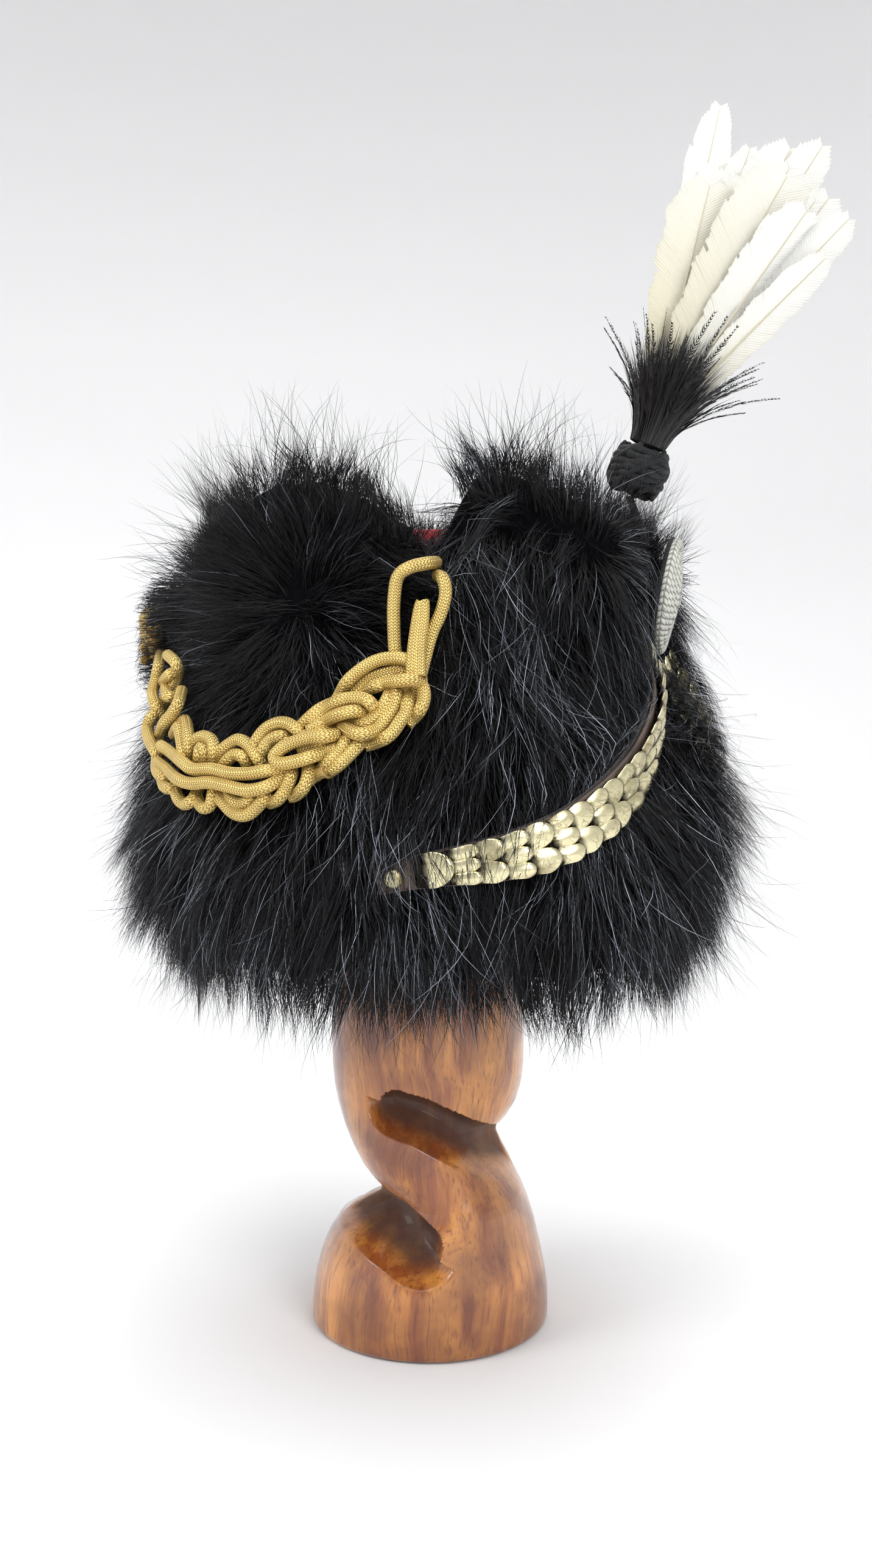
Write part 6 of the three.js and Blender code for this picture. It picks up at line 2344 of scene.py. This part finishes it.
@dataclass(frozen=True)
class Plume:
    """The plume: a wire stem, a cord-bound olive, a black hackle and white feathers."""

    olive_centre: Spot = (92.0, 0.0, 352.0)
    olive_radius: float = 12.2
    olive_height: float = 20.0
    olive_lean: float = 20.0
    plume_lean: float = 24.0
    brush_count: int = 2600
    strip_count: int = 46
    stem: tuple[tuple[float, float, float], ...] = (
        (98.8, 0, 300.5), (97.5, 0, 312), (93.5, 0, 326), (88.3, 0, 341.8)
    )
    feathers: tuple[Feather, ...] = (
        Feather(10.6, 5, 134, 18, 25), Feather(19.8, 4, 116, 17, 15), Feather(25.9, 3, 118, 27, 20),
        Feather(31.6, 5, 124, 21, 38, 5.0), Feather(45.5, 2, 104, 18, 30), Feather(49.0, -1, 88, 15, 20),
        Feather(22.0, 7, 106, 27, 28), Feather(38.0, 5, 108, 25, 18), Feather(13.5, 7, 110, 21, 30),
        Feather(40.0, -2, 96, 24, 28), Feather(17.0, 4, 104, 30, 24), Feather(27.5, 2, 110, 31, 24),
        Feather(36.0, 3, 104, 30, 28), Feather(42.5, 1, 96, 26, 26), Feather(24.0, 0, 98, 30, 22),
        Feather(30.5, -4, 104, 31, 30, 3.0, 0.45), Feather(15.4, -6, 94, 27, 20, 3.0, 0.6)
    )
    vane_outline: tuple[Numbers, Numbers] = (
        (0, 0.12, 0.35, 0.6, 0.8, 0.93, 1.0), (0.15, 0.45, 0.85, 1.0, 0.97, 0.72, 0.3)
    )

    def _frame(self, lean: float) -> Matrix:
        """The olive's middle, leaning forward by some degrees."""
        leaning = Matrix.Rotation(math.radians(lean), 4, "Y")
        return Matrix.Translation(Vector(self.olive_centre) * MM) @ leaning

    def foot(self, rise: float) -> Array:
        """A place above the middle of the olive's top.

        Args:
            rise: How far above it.

        Returns:
            The place in millimetres.
        """
        up = self._frame(self.olive_lean) @ Vector((0, 0, (self.olive_height / 2 + rise) * MM))
        return np.array(up) / MM

    def build(self, wardrobe: Wardrobe) -> None:
        """Builds the stem, the olive, the hackle and the feathers.

        Args:
            wardrobe: The materials.
        """
        heap = MeshHeap()
        stem = np.array(self.stem, float)
        line = Path.through(stem, np.tile([0.0, 1.0, 0.0], (len(stem), 1)), 1.0).place
        cord(heap, line, 1.5, 10)
        dress(heap.piece("plume_wire_stem"), wardrobe.black_cord, ["plume_stem"])
        self._olive(wardrobe)
        self._hackle(wardrobe)
        self._feathers(wardrobe)

    def _olive(self, wardrobe: Wardrobe) -> None:
        """The olive: a barrel wound with black cord in lumpy turns.

        Args:
            wardrobe: The materials.
        """
        rng = np.random.default_rng(8)
        frame = self._frame(self.olive_lean)
        heap = MeshHeap()
        turns = 6.5
        angle = np.linspace(0, 2 * math.pi * turns, 420)
        share = angle / angle[-1]
        radius = 1.75
        height = (share - 0.5) * (self.olive_height - 2 * radius)
        barrel = self.olive_radius - radius - 0.3 - 2.6 * np.abs(2 * share - 1) ** 2.5
        lump = 0.5 * np.sin(angle * 5.3) + 0.35 * np.sin(angle * 9.1 + 1) + rng.normal(0, 0.06, len(angle))
        reach = barrel + 0.5 * lump
        coil = polar(angle, reach, height + 0.4 * np.sin(angle * 3.7))
        cord(heap, placed(coil, frame), radius + 0.25 * np.sin(angle * 7.7), 10)
        for number in range(5):
            start = 2 * math.pi * number / 5 + 0.4
            share = np.linspace(0, 1, 40)
            across = start + 1.9 * share
            reach = self.olive_radius - 1.0 - 2.8 * np.abs(2 * share - 1) ** 2.5
            height = (share - 0.5) * (self.olive_height - 2)
            wrap = polar(across, reach, height)
            cord(heap, placed(wrap, frame), 1.1, 8)
        dress(heap.piece("plume_olive_cord"), wardrobe.black_cord, ["plume_olive"])
        Bench.deselect()
        inner = self.olive_radius - 2.4
        bpy.ops.mesh.primitive_uv_sphere_add(segments=32, ring_count=16, radius=inner * MM)
        core = Bench.named("plume_olive_core")
        squeeze = (self.olive_height / 2 - 0.8) / inner
        Bench.reshape(core, lambda points: points * np.array([1.0, 1.0, squeeze]))
        core.matrix_world = self._frame(self.olive_lean)
        Bench.settle(core)
        Bench.smooth(core, 180)
        dress(core, wardrobe.under_fur)

    def _hackle(self, wardrobe: Wardrobe) -> None:
        """The hackle: a brush of fine barbs round the quills, and barbed strips.

        Args:
            wardrobe: The materials.
        """
        rng = np.random.default_rng(19)
        axes = np.array(self._frame(self.plume_lean))[:3, :3].T
        parts = (
            ("hackle_brush", Strands(0.55, 5), self._brush(rng), ["plume_hackle"]),
            ("hackle_strips", Strands(0.5, 6), self._strips(rng), []),
        )
        for name, strands, (lines, facing), replaced in parts:
            heap = strands.ribbons(lines @ axes + self.foot(0.3), unit(facing @ axes))
            dress(heap.piece(name), wardrobe.hackle, replaced)

    def _brush(self, rng: np.random.Generator) -> tuple[Array, Array]:
        """Fine barbs on an upright plume.

        Args:
            rng: The source of chance.

        Returns:
            The barbs' lines and the way each faces.
        """
        count = self.brush_count
        angle = rng.uniform(0, 2 * math.pi, count)
        inner = np.sqrt(rng.uniform(0.03, 1, count))
        start = polar(angle, 7.2 * inner, 0 * angle)
        lean = inner * rng.uniform(0.1, 0.66, count)
        sloped = (np.cos(angle) * lean, np.sin(angle) * lean)
        first, last = (
            unit(stack(sloped[0] * bend, sloped[1] * bend, np.ones(count))) for bend in (0.45, 2.0)
        )
        length = rng.uniform(26, 50, count) * (1.05 - 0.25 * inner)
        wave = stack(rng.uniform(0, 1.5, count), np.full(count, 0.7), angle)
        side = unit(stack(-np.sin(angle), np.cos(angle), 0 * angle))
        lines = bent_hairs(start, first, last, length, 5, wave, side)
        return lines, polar(angle, 1.0, 0 * angle + 0.3)

    def _strips(self, rng: np.random.Generator) -> tuple[Array, Array]:
        """Barbed strips on an upright plume.

        Args:
            rng: The source of chance.

        Returns:
            The lines of barbs and spines, and the way each faces.
        """
        count = self.strip_count
        steps = 40
        turn = 2 * math.pi * np.arange(count) / count * 2.618
        lean = rng.uniform(0.15, 1.15, count)
        length = rng.uniform(38, 60, count) * (1 - 0.12 * lean)
        lines = []
        facing = []
        for number in range(count):
            way = np.array([math.cos(turn[number]), math.sin(turn[number]), 0.0])
            first = unit(way * lean[number] * 0.35 + np.array([0, 0, 1.0]))
            last = unit(way * (lean[number] * 1.5) + np.array([0, 0, 1.0 - 0.3 * lean[number]]))
            wave = np.array([[rng.uniform(0, 2.0), 0.6, rng.uniform(0, 1)]])
            sideways = np.array([-way[1], way[0], 0.0])
            lay = ((way * 5.0)[None], first[None], last[None], length[number : number + 1])
            spine = bent_hairs(*lay, steps, wave, sideways[None])[0]
            bare = spine[None, np.linspace(0, steps, 4).astype(int)]
            made = [*self._barbs(spine, way, rng), bare - sideways * 0.25, bare + sideways * 0.25]
            lines += made
            facing.append(np.tile(way, (sum(len(part) for part in made), 1)))
        return np.concatenate(lines), np.concatenate(facing)

    @staticmethod
    def _barbs(spine: Array, way: Array, rng: np.random.Generator) -> list[Array]:
        """The barbs along both edges of a strip.

        Args:
            spine: The strip's middle line.
            way: The way the strip faces.
            rng: The source of chance.

        Returns:
            The barbs' lines, one array for each edge.
        """
        ahead = unit(np.gradient(spine, axis=0))
        rows = np.arange(8, len(spine) - 1)
        barbs = []
        for hand in (-1, 1):
            reach = rng.uniform(2.2, 4.6, len(rows)) * np.clip(1 - (rows / 40) ** 3, 0.25, 1)
            across = unit(np.cross(ahead[rows], way)) * hand
            splay = unit(ahead[rows] * 1.5 + across + rng.normal(0, 0.18, (len(rows), 3)))
            droop = unit(ahead[rows] * 2.4 + across * 0.5)
            calm = np.zeros((len(rows), 3))
            barbs.append(bent_hairs(spine[rows], splay, droop, reach * 1.5, 3, calm, across))
        return barbs

    def _feathers(self, wardrobe: Wardrobe) -> None:
        """The white feathers, each with a shaft and a vane of barbs that part at the edge.

        Args:
            wardrobe: The materials.
        """
        vanes = MeshHeap()
        shafts = MeshHeap()
        rng = np.random.default_rng(23)
        for feather in self.feathers:
            self._feather(feather, vanes, shafts, rng)
        dress(vanes.piece("feather_vanes"), wardrobe.feather, ["plume_feathers"])
        dress(shafts.piece("feather_shafts"), wardrobe.quill)

    def _feather(self, feather: Feather, vanes: MeshHeap, shafts: MeshHeap, rng: np.random.Generator) -> None:
        """Adds one feather.

        Args:
            feather: Its sizes.
            vanes: Where its vane goes.
            shafts: Where its shaft goes.
            rng: The source of chance.
        """
        foot = self.foot(4.6)
        lean = math.radians(feather.lean)
        splay = math.radians(feather.splay)
        level = math.cos(splay)
        ahead = np.array([math.sin(lean) * level, math.sin(splay), math.cos(lean) * level])
        roll = math.radians(feather.roll)
        flat = np.array([math.cos(roll), math.sin(roll), 0.0])
        flat = unit(flat - ahead * np.dot(flat, ahead))
        thick = np.cross(ahead, flat)
        steps = 72
        share = np.linspace(0, 1, steps + 1)
        bow = feather.curl * np.sin(math.pi * share) + rng.uniform(-1.5, 1.5) * share**2
        spine = foot + ahead * (share * feather.length)[:, None] + thick * bow[:, None]
        spine = spine + flat * (rng.uniform(-2.5, 2.5) * share**2)[:, None]
        cord(shafts, spine, 0.75 * (1 - 0.85 * share) + 0.08, 6)
        for hand in (-1, 1):
            vanes.add(*self._vane(feather, spine, (ahead, flat, thick), hand, rng))

    def _vane(
        self, feather: Feather, spine: Array, ways: Sequence[Array], hand: int, rng: np.random.Generator
    ) -> tuple[Array, Array, Array]:
        """One half of a vane, in barbs that part here and there at the edge.

        Args:
            feather: The feather's sizes.
            spine: The shaft's points.
            ways: The ways ahead, across and out of the vane.
            hand: The side of the shaft, -1 or 1.
            rng: The source of chance.

        Returns:
            Its corners, its faces and their UVs.
        """
        ahead, flat, thick = ways
        steps = len(spine) - 1
        columns = 7
        sweep = math.radians(36)
        share = np.linspace(0, 1, steps + 1)
        across = np.linspace(0, 1, columns)
        outline = np.interp(share, *self.vane_outline)
        noise = rng.normal(0, 0.02, steps) + 0.04 * np.sin(np.arange(steps) * 0.5 + rng.uniform(0, 6))
        split = np.where(rng.uniform(0, 1, steps) < 0.03, rng.uniform(0.86, 0.96, steps), 1.0)
        half = feather.width / 2 * outline[1:] * (1 + noise) * split
        reach = (half / math.cos(sweep))[:, None] * across[None]
        wide = reach * math.cos(sweep)
        cup = 0.9 * (wide / max(feather.width / 2, 1)) ** 2
        part = rng.normal(0, 0.1, steps)[:, None] * across[None] ** 2
        edges = []
        for start in (spine[:-1], spine[1:]):
            edge = start[:, None] + flat * (hand * wide)[..., None]
            edge = edge + ahead * (reach * math.sin(sweep))[..., None]
            edges.append(edge + thick * (cup + part)[..., None])
        block = np.stack(edges, axis=1).reshape(-1, 3)
        base = (np.arange(steps) * 2 * columns)[:, None]
        column = np.arange(columns - 1)[None]
        order = [base + column, base + column + 1, base + columns + column + 1, base + columns + column]
        quads = stack(*order[::hand]).reshape(-1, 4)
        reached = share[:-1] * feather.length
        tone = np.clip(share[:-1] * 1.15 + 0.15 - feather.cream, 0, 1)
        near, far = (
            np.broadcast_to(stack(along, tone)[:, None], (steps, columns - 1, 2))
            for along in (reached, reached + feather.length / steps)
        )
        return block, quads, np.stack([near, near, far, far][::hand], -2).reshape(-1, 4, 2)


# The crown's cloth and the stand


@dataclass(frozen=True)
class CrownCloth:
    """The red cloth stretched over the crown, with its edge turned down."""

    half_length: float = 89.3
    ratio: float = 0.832
    top: float = 320.9
    rise: float = 3.0
    hem: float = 307.0
    flare: float = 1.3
    thickness: float = 1.4

    def build(self, wardrobe: Wardrobe) -> None:
        """Builds the cloth.

        Args:
            wardrobe: The materials.
        """
        Bench.deselect()
        bpy.ops.mesh.primitive_circle_add(
            vertices=96, radius=self.half_length * MM, fill_type="NGON", location=(0, 0, self.top * MM)
        )
        cloth = Bench.named("crown_cloth")
        Bench.settle(cloth)
        with Bench.editing(cloth):
            bpy.ops.mesh.select_mode(type="FACE")
            for inset in (3.0, 6.0, 12.0, 16.0, 18.0, 16.0):
                bpy.ops.mesh.inset(thickness=inset * MM)
            bpy.ops.mesh.select_mode(type="EDGE")
            bpy.ops.mesh.select_all(action="DESELECT")
        corners = cloth.data.vertices
        for corner in corners:
            corner.select = math.hypot(*corner.co.xy) > (self.half_length - 0.5) * MM
        for edge in cloth.data.edges:
            edge.select = all(corners[number].select for number in edge.vertices)
        bpy.ops.object.mode_set(mode="EDIT")
        for step in (0.15, 0.35, 0.5):
            drop = (self.top - self.hem) * step
            bpy.ops.mesh.extrude_region_move(TRANSFORM_OT_translate={"value": (0, 0, -drop * MM)})
        bpy.ops.object.mode_set(mode="OBJECT")
        Bench.reshape(cloth, self._shaped)
        Bench.finish(cloth, "SOLIDIFY", thickness=self.thickness * MM, offset=-1.0)
        Bench.finish(cloth, "SUBSURF", levels=1, render_levels=1)
        Bench.smooth(cloth, 60)
        dress(cloth, wardrobe.red_cloth, ["top_cloth"])

    def _shaped(self, points: Array) -> Array:
        """Domes the crown, squeezes it oval and puckers its edge.

        Args:
            points: The cloth's corners.

        Returns:
            The shaped corners.
        """
        reach = np.hypot(points[:, 0], points[:, 1]) / self.half_length
        angle = np.arctan2(points[:, 1], points[:, 0])
        shaped = points.copy()
        depth = (self.top - points[:, 2]) / (self.top - self.hem)
        pucker = 0.5 * np.sin(angle * 17) * np.clip(reach - 0.8, 0, 0.2) * 5
        wrinkle = 0.35 * np.sin(points[:, 0] * 0.09 + points[:, 1] * 0.13) * (1 - reach)
        shaped[:, 2] += self.rise * (1 - reach**2) + (pucker + wrinkle) * (depth <= 0)
        spread = 1 + (self.flare * np.clip(depth, 0, 1) + 1.3) / self.half_length
        shaped[:, 0] *= spread
        shaped[:, 1] *= spread * self.ratio
        return shaped


@dataclass(frozen=True)
class Scoop:
    """A hollow carved in the stand's face, from one point to another across and up."""

    line: tuple[tuple[float, float], ...]
    reach: float
    depth: float
    sharp_above: bool


@dataclass(frozen=True)
class WoodenStand:
    """The carved stand: an S-shaped column on a round foot, with a plain post inside the cap."""

    turn: float = 25.0
    carved: Spot = (32.0, 114.0, 2.4)
    rows: tuple[tuple[float, float, float, float], ...] = (
        (0.0, -49.2, 49.2, 49.2), (1.2, -50.3, 50.3, 50.3), (6.0, -50.5, 50.6, 50.5),
        (14.0, -49.6, 50.4, 50.0), (22.0, -48.2, 49.0, 49.4), (30.0, -45.6, 47.4, 48.6),
        (36.0, -42.8, 46.0, 47.8), (42.0, -38.6, 44.6, 46.8), (47.0, -33.0, 43.0, 46.0),
        (50.5, -27.0, 41.8, 45.4), (53.0, -21.5, 40.8, 44.8), (56.5, -20.2, 39.4, 44.2),
        (61.0, -24.2, 37.0, 43.6), (68.0, -29.5, 33.8, 42.8), (74.0, -32.8, 30.6, 42.4),
        (79.0, -35.0, 28.4, 42.0), (83.0, -36.6, 29.2, 41.9), (88.0, -38.2, 33.8, 41.8),
        (93.0, -39.6, 37.0, 41.8), (100.0, -41.0, 39.2, 42.0), (108.0, -41.8, 40.3, 42.2),
        (124.0, -42.2, 40.6, 42.4), (139.0, -41.6, 39.8, 41.6), (148.0, -39.6, 38.8, 39.4),
        (172.0, -36.6, 36.6, 36.6), (200.0, -33.8, 33.8, 33.8), (300.0, -33.8, 33.8, 33.8),
        (314.4, -33.8, 33.8, 33.8), (315.3, -33.0, 33.0, 33.0)
    )
    scoops: tuple[Scoop, ...] = (
        Scoop(((-13.0, 98.0), (-3.0, 95.5), (10.0, 88.5), (24.0, 80.5), (40.0, 73.0)), 9.5, 15.0, True),
        Scoop(((-44.0, 62.0), (-26.0, 55.5), (-13.0, 50.5), (-4.0, 44.5)), 12.5, 17.0, True),
    )

    def build(self, wardrobe: Wardrobe) -> None:
        """Builds the stand.

        Args:
            wardrobe: The materials.
        """
        Bench.deselect()
        rows = self._close_rows()
        first = rows[0]
        bpy.ops.mesh.primitive_circle_add(vertices=72, radius=1.0, fill_type="NGON")
        stand = Bench.named("carved_stand")
        with Bench.editing(stand):
            size = ((first[2] - first[1]) / 2 * MM, first[3] * MM, 1.0)
            bpy.ops.transform.resize(value=size, center_override=(0, 0, 0))
            bpy.ops.mesh.flip_normals()
            for low, high in zip(rows[:-1], rows[1:]):
                middle = ((low[1] + low[2]) / 2 * MM, 0.0, high[0] * MM)
                upward = (0, 0, (high[0] - low[0]) * MM)
                bpy.ops.mesh.extrude_region_move(TRANSFORM_OT_translate={"value": upward})
                grow = ((high[2] - high[1]) / (low[2] - low[1]), high[3] / low[3], 1.0)
                bpy.ops.transform.resize(value=grow, center_override=middle)
                step = ((high[1] + high[2]) - (low[1] + low[2])) / 2 * MM
                bpy.ops.transform.translate(value=(step, 0, 0))
            bpy.ops.mesh.select_all(action="SELECT")
            bpy.ops.mesh.normals_make_consistent(inside=False)
        Bench.finish(stand, "SUBSURF", levels=2, render_levels=2)
        hollow = self._carve(stand)
        Bench.reshape(stand, self._turned)
        # The hollow mark is the share of painted shade in the carved hollows.
        mark(stand, "hollow", hollow)
        Bench.smooth(stand, 75)
        dress(stand, wardrobe.wood, ["stand"])

    def _close_rows(self) -> Array:
        """The rows with more of them where the hollows are.

        Returns:
            One row of four measures for each height.
        """
        table = np.array(self.rows)
        height = np.union1d(table[:, 0], np.arange(*self.carved))
        return np.stack([np.interp(height, table[:, 0], table[:, column]) for column in range(4)], 1)

    def _turned(self, points: Array) -> Array:
        """Turns the stand to face the way it stands in.

        Args:
            points: The points.

        Returns:
            The turned points.
        """
        angle = math.radians(self.turn)
        turned = points.copy()
        turned[:, 0] = points[:, 0] * math.cos(angle) - points[:, 1] * math.sin(angle)
        turned[:, 1] = points[:, 0] * math.sin(angle) + points[:, 1] * math.cos(angle)
        return turned

    def _carve(self, stand: Piece) -> Array:
        """Carves the hollows into both faces.

        Args:
            stand: The stand before it is turned.

        Returns:
            How much painted shade each corner gets, from how deep in a hollow it lies, from 0 to 1.
        """
        shade = np.zeros(len(stand.data.vertices))

        def shaped(points: Array) -> Array:
            """Pushes the faces in along each scoop.

            Args:
                points: The points.

            Returns:
                The moved points.
            """
            carved = points.copy()
            for scoop in self.scoops:
                share = self._scoop_share(points[:, 0], points[:, 2], scoop)
                room = np.abs(points[:, 1])
                depth = np.minimum(scoop.depth * share, room * 0.62)
                carved[:, 1] -= np.sign(points[:, 1]) * depth
                np.maximum(shade, share * np.clip(room / 12, 0, 1), out=shade)
            return carved

        Bench.reshape(stand, shaped)
        return ramp_up(shade, 0.3, 0.4)

    @staticmethod
    def _scoop_share(across: Array, up: Array, scoop: Scoop) -> Array:
        """How deep a scoop is at places on the stand's face.

        Args:
            across: The places' distances across.
            up: Their heights.
            scoop: The scoop.

        Returns:
            The share of the scoop's full depth.
        """
        best = np.full(len(across), 1e9)
        above = np.zeros(len(across), bool)
        line = np.array(scoop.line)
        for start, stop in zip(line[:-1], line[1:]):
            step = stop - start
            offset = stack(across - start[0], up - start[1])
            share = np.clip(offset @ step / (step @ step), 0, 1)
            apart = offset - share[:, None] * step
            distance = np.linalg.norm(apart, axis=1)
            closer = distance < best
            side = step[0] * apart[:, 1] - step[1] * apart[:, 0]
            best = np.where(closer, distance, best)
            above = np.where(closer, side > 0, above)
        reach = np.where(above == scoop.sharp_above, scoop.reach * 0.72, scoop.reach * 1.35)
        inside = np.clip(1 - (best / reach) ** 2, 0, 1)
        return np.where(above == scoop.sharp_above, inside**0.42, inside**1.3)


# The studio


@dataclass(frozen=True)
class Studio:
    """The pale floor, the soft lights and the camera at the photograph's angle."""

    azimuth: float = 25.0
    distance: float = 530.0
    eye: float = 227.0
    axis_shift: float = 2.6
    picture_height: float = 2576.0
    focal: float = 2022.0
    sensor: float = 36.0

    def camera(self) -> None:
        """Sets up the camera."""
        angle = math.radians(self.azimuth)
        toward = Vector((math.sin(angle), -math.cos(angle), 0))
        right = Vector((math.cos(angle), math.sin(angle), 0))
        place = (toward * self.distance + right * self.axis_shift + Vector((0, 0, self.eye))) * MM
        data = bpy.data.cameras.new("photo_view")
        data.sensor_width = self.sensor
        data.lens = self.sensor * self.focal / self.picture_height
        data.clip_start = 0.01
        camera = bpy.data.objects.new("photo_view", data)
        camera.location = place
        camera.rotation_euler = (math.pi / 2, 0, angle)
        bpy.context.scene.collection.objects.link(camera)
        bpy.context.scene.camera = camera

    def lights(self) -> None:
        """Sets up the soft lights and the pale sky."""
        lamps = (
            ("overhead", (0.1, -0.2, 1.35), (0, 0, 0.2), 1.3, 11.0),
            ("front_right", (1.0, -0.75, 0.75), (0, 0, 0.25), 0.6, 8.0),
            ("front_left", (-0.9, -1.1, 0.85), (0, 0, 0.22), 0.7, 7.2),
            ("behind", (-0.2, 1.0, 1.5), (0, 0, 0.3), 0.9, 5.5),
            ("on_the_wall", (-0.59, 0.66, 0.45), (-1.16, 1.67, 0.6), 0.8, 2.4),
        )
        for name, place, target, size, power in lamps:
            data = bpy.data.lights.new(name, "AREA")
            data.shape = "SQUARE"
            data.size = size
            data.energy = power
            lamp = bpy.data.objects.new(name, data)
            lamp.location = place
            way = Vector(target) - Vector(place)
            lamp.rotation_euler = way.to_track_quat("-Z", "Y").to_euler()
            bpy.context.scene.collection.objects.link(lamp)
        world = bpy.data.worlds.new("pale_sky")
        world.use_nodes = True
        sky = world.node_tree.nodes["Background"]
        sky.inputs["Color"].default_value = (0.97, 0.98, 1.0, 1.0)
        sky.inputs["Strength"].default_value = 0.84
        bpy.context.scene.world = world
        bpy.context.scene.view_settings.view_transform = "Standard"

    def floor(self, wardrobe: Wardrobe) -> None:
        """Builds the floor, its edge swept up to a wall all round, and the ceiling that goes up with it.

        Args:
            wardrobe: The materials.
        """
        Bench.deselect()
        flat, bend, wall = 0.95, 1.1, 1.3
        bpy.ops.mesh.primitive_circle_add(vertices=96, radius=flat, fill_type="NGON")
        floor = Bench.named("pale_floor")
        with Bench.editing(floor):
            bpy.ops.mesh.inset(thickness=0.4)
        corners = floor.data.vertices
        for edge in floor.data.edges:
            edge.select = all(math.hypot(*corners[number].co.xy) > flat * 0.97 for number in edge.vertices)
        bpy.ops.object.mode_set(mode="EDIT")
        bpy.ops.mesh.select_mode(type="EDGE")
        steps = 10
        radius = flat
        height = 0.0
        for step in range(1, steps + 1):
            angle = math.pi / 2 * step / steps
            rise = bend * (1 - math.cos(angle)) - height
            reach = flat + bend * math.sin(angle)
            bpy.ops.mesh.extrude_region_move(TRANSFORM_OT_translate={"value": (0, 0, rise)})
            bpy.ops.transform.resize(value=(reach / radius, reach / radius, 1), center_override=(0, 0, 0))
            radius = reach
            height += rise
        bpy.ops.mesh.extrude_region_move(TRANSFORM_OT_translate={"value": (0, 0, wall)})
        bpy.ops.object.mode_set(mode="OBJECT")
        Bench.smooth(floor, 60)
        floor.data.materials.append(wardrobe.backdrop)
        floor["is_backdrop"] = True


def write_sizes(before: Any, after: Any) -> None:
    """Gathers the frame's box and the dressed box into rows; nothing is written.

    Args:
        before: The box of the frame.
        after: The box of all that shows.
    """
    rows = {
        name: [[float(value) for value in corner] for corner in box]
        for name, box in (("frame", before), ("dressed", after))
    }


def main() -> None:
    """Builds the busby, its stand and the studio."""
    logging.basicConfig(level=logging.INFO, format="%(message)s")
    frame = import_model()
    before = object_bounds()
    studio = Studio()
    studio.camera()
    studio.lights()
    wardrobe = Wardrobe()
    studio.floor(wardrobe)
    form = FurForm()
    strap = ChinStrap()
    plait = GiltPlait(form)
    boss = Boss()
    strap.build(wardrobe)
    for side in Side:
        plait.build(side, wardrobe)
    boss.build(wardrobe)
    Plume().build(wardrobe)
    CrownCloth().build(wardrobe)
    WoodenStand().build(wardrobe)
    furrows = [*strap.furrows(), *plait.furrows(), boss.furrow()]
    FurCoat(form, furrows).build(wardrobe)
    shell = frame["nodes"]["cap_body"]
    shell.data.materials.clear()
    shell.data.materials.append(wardrobe.shell)
    write_sizes(before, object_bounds())


if __name__ == "__main__":
    main()
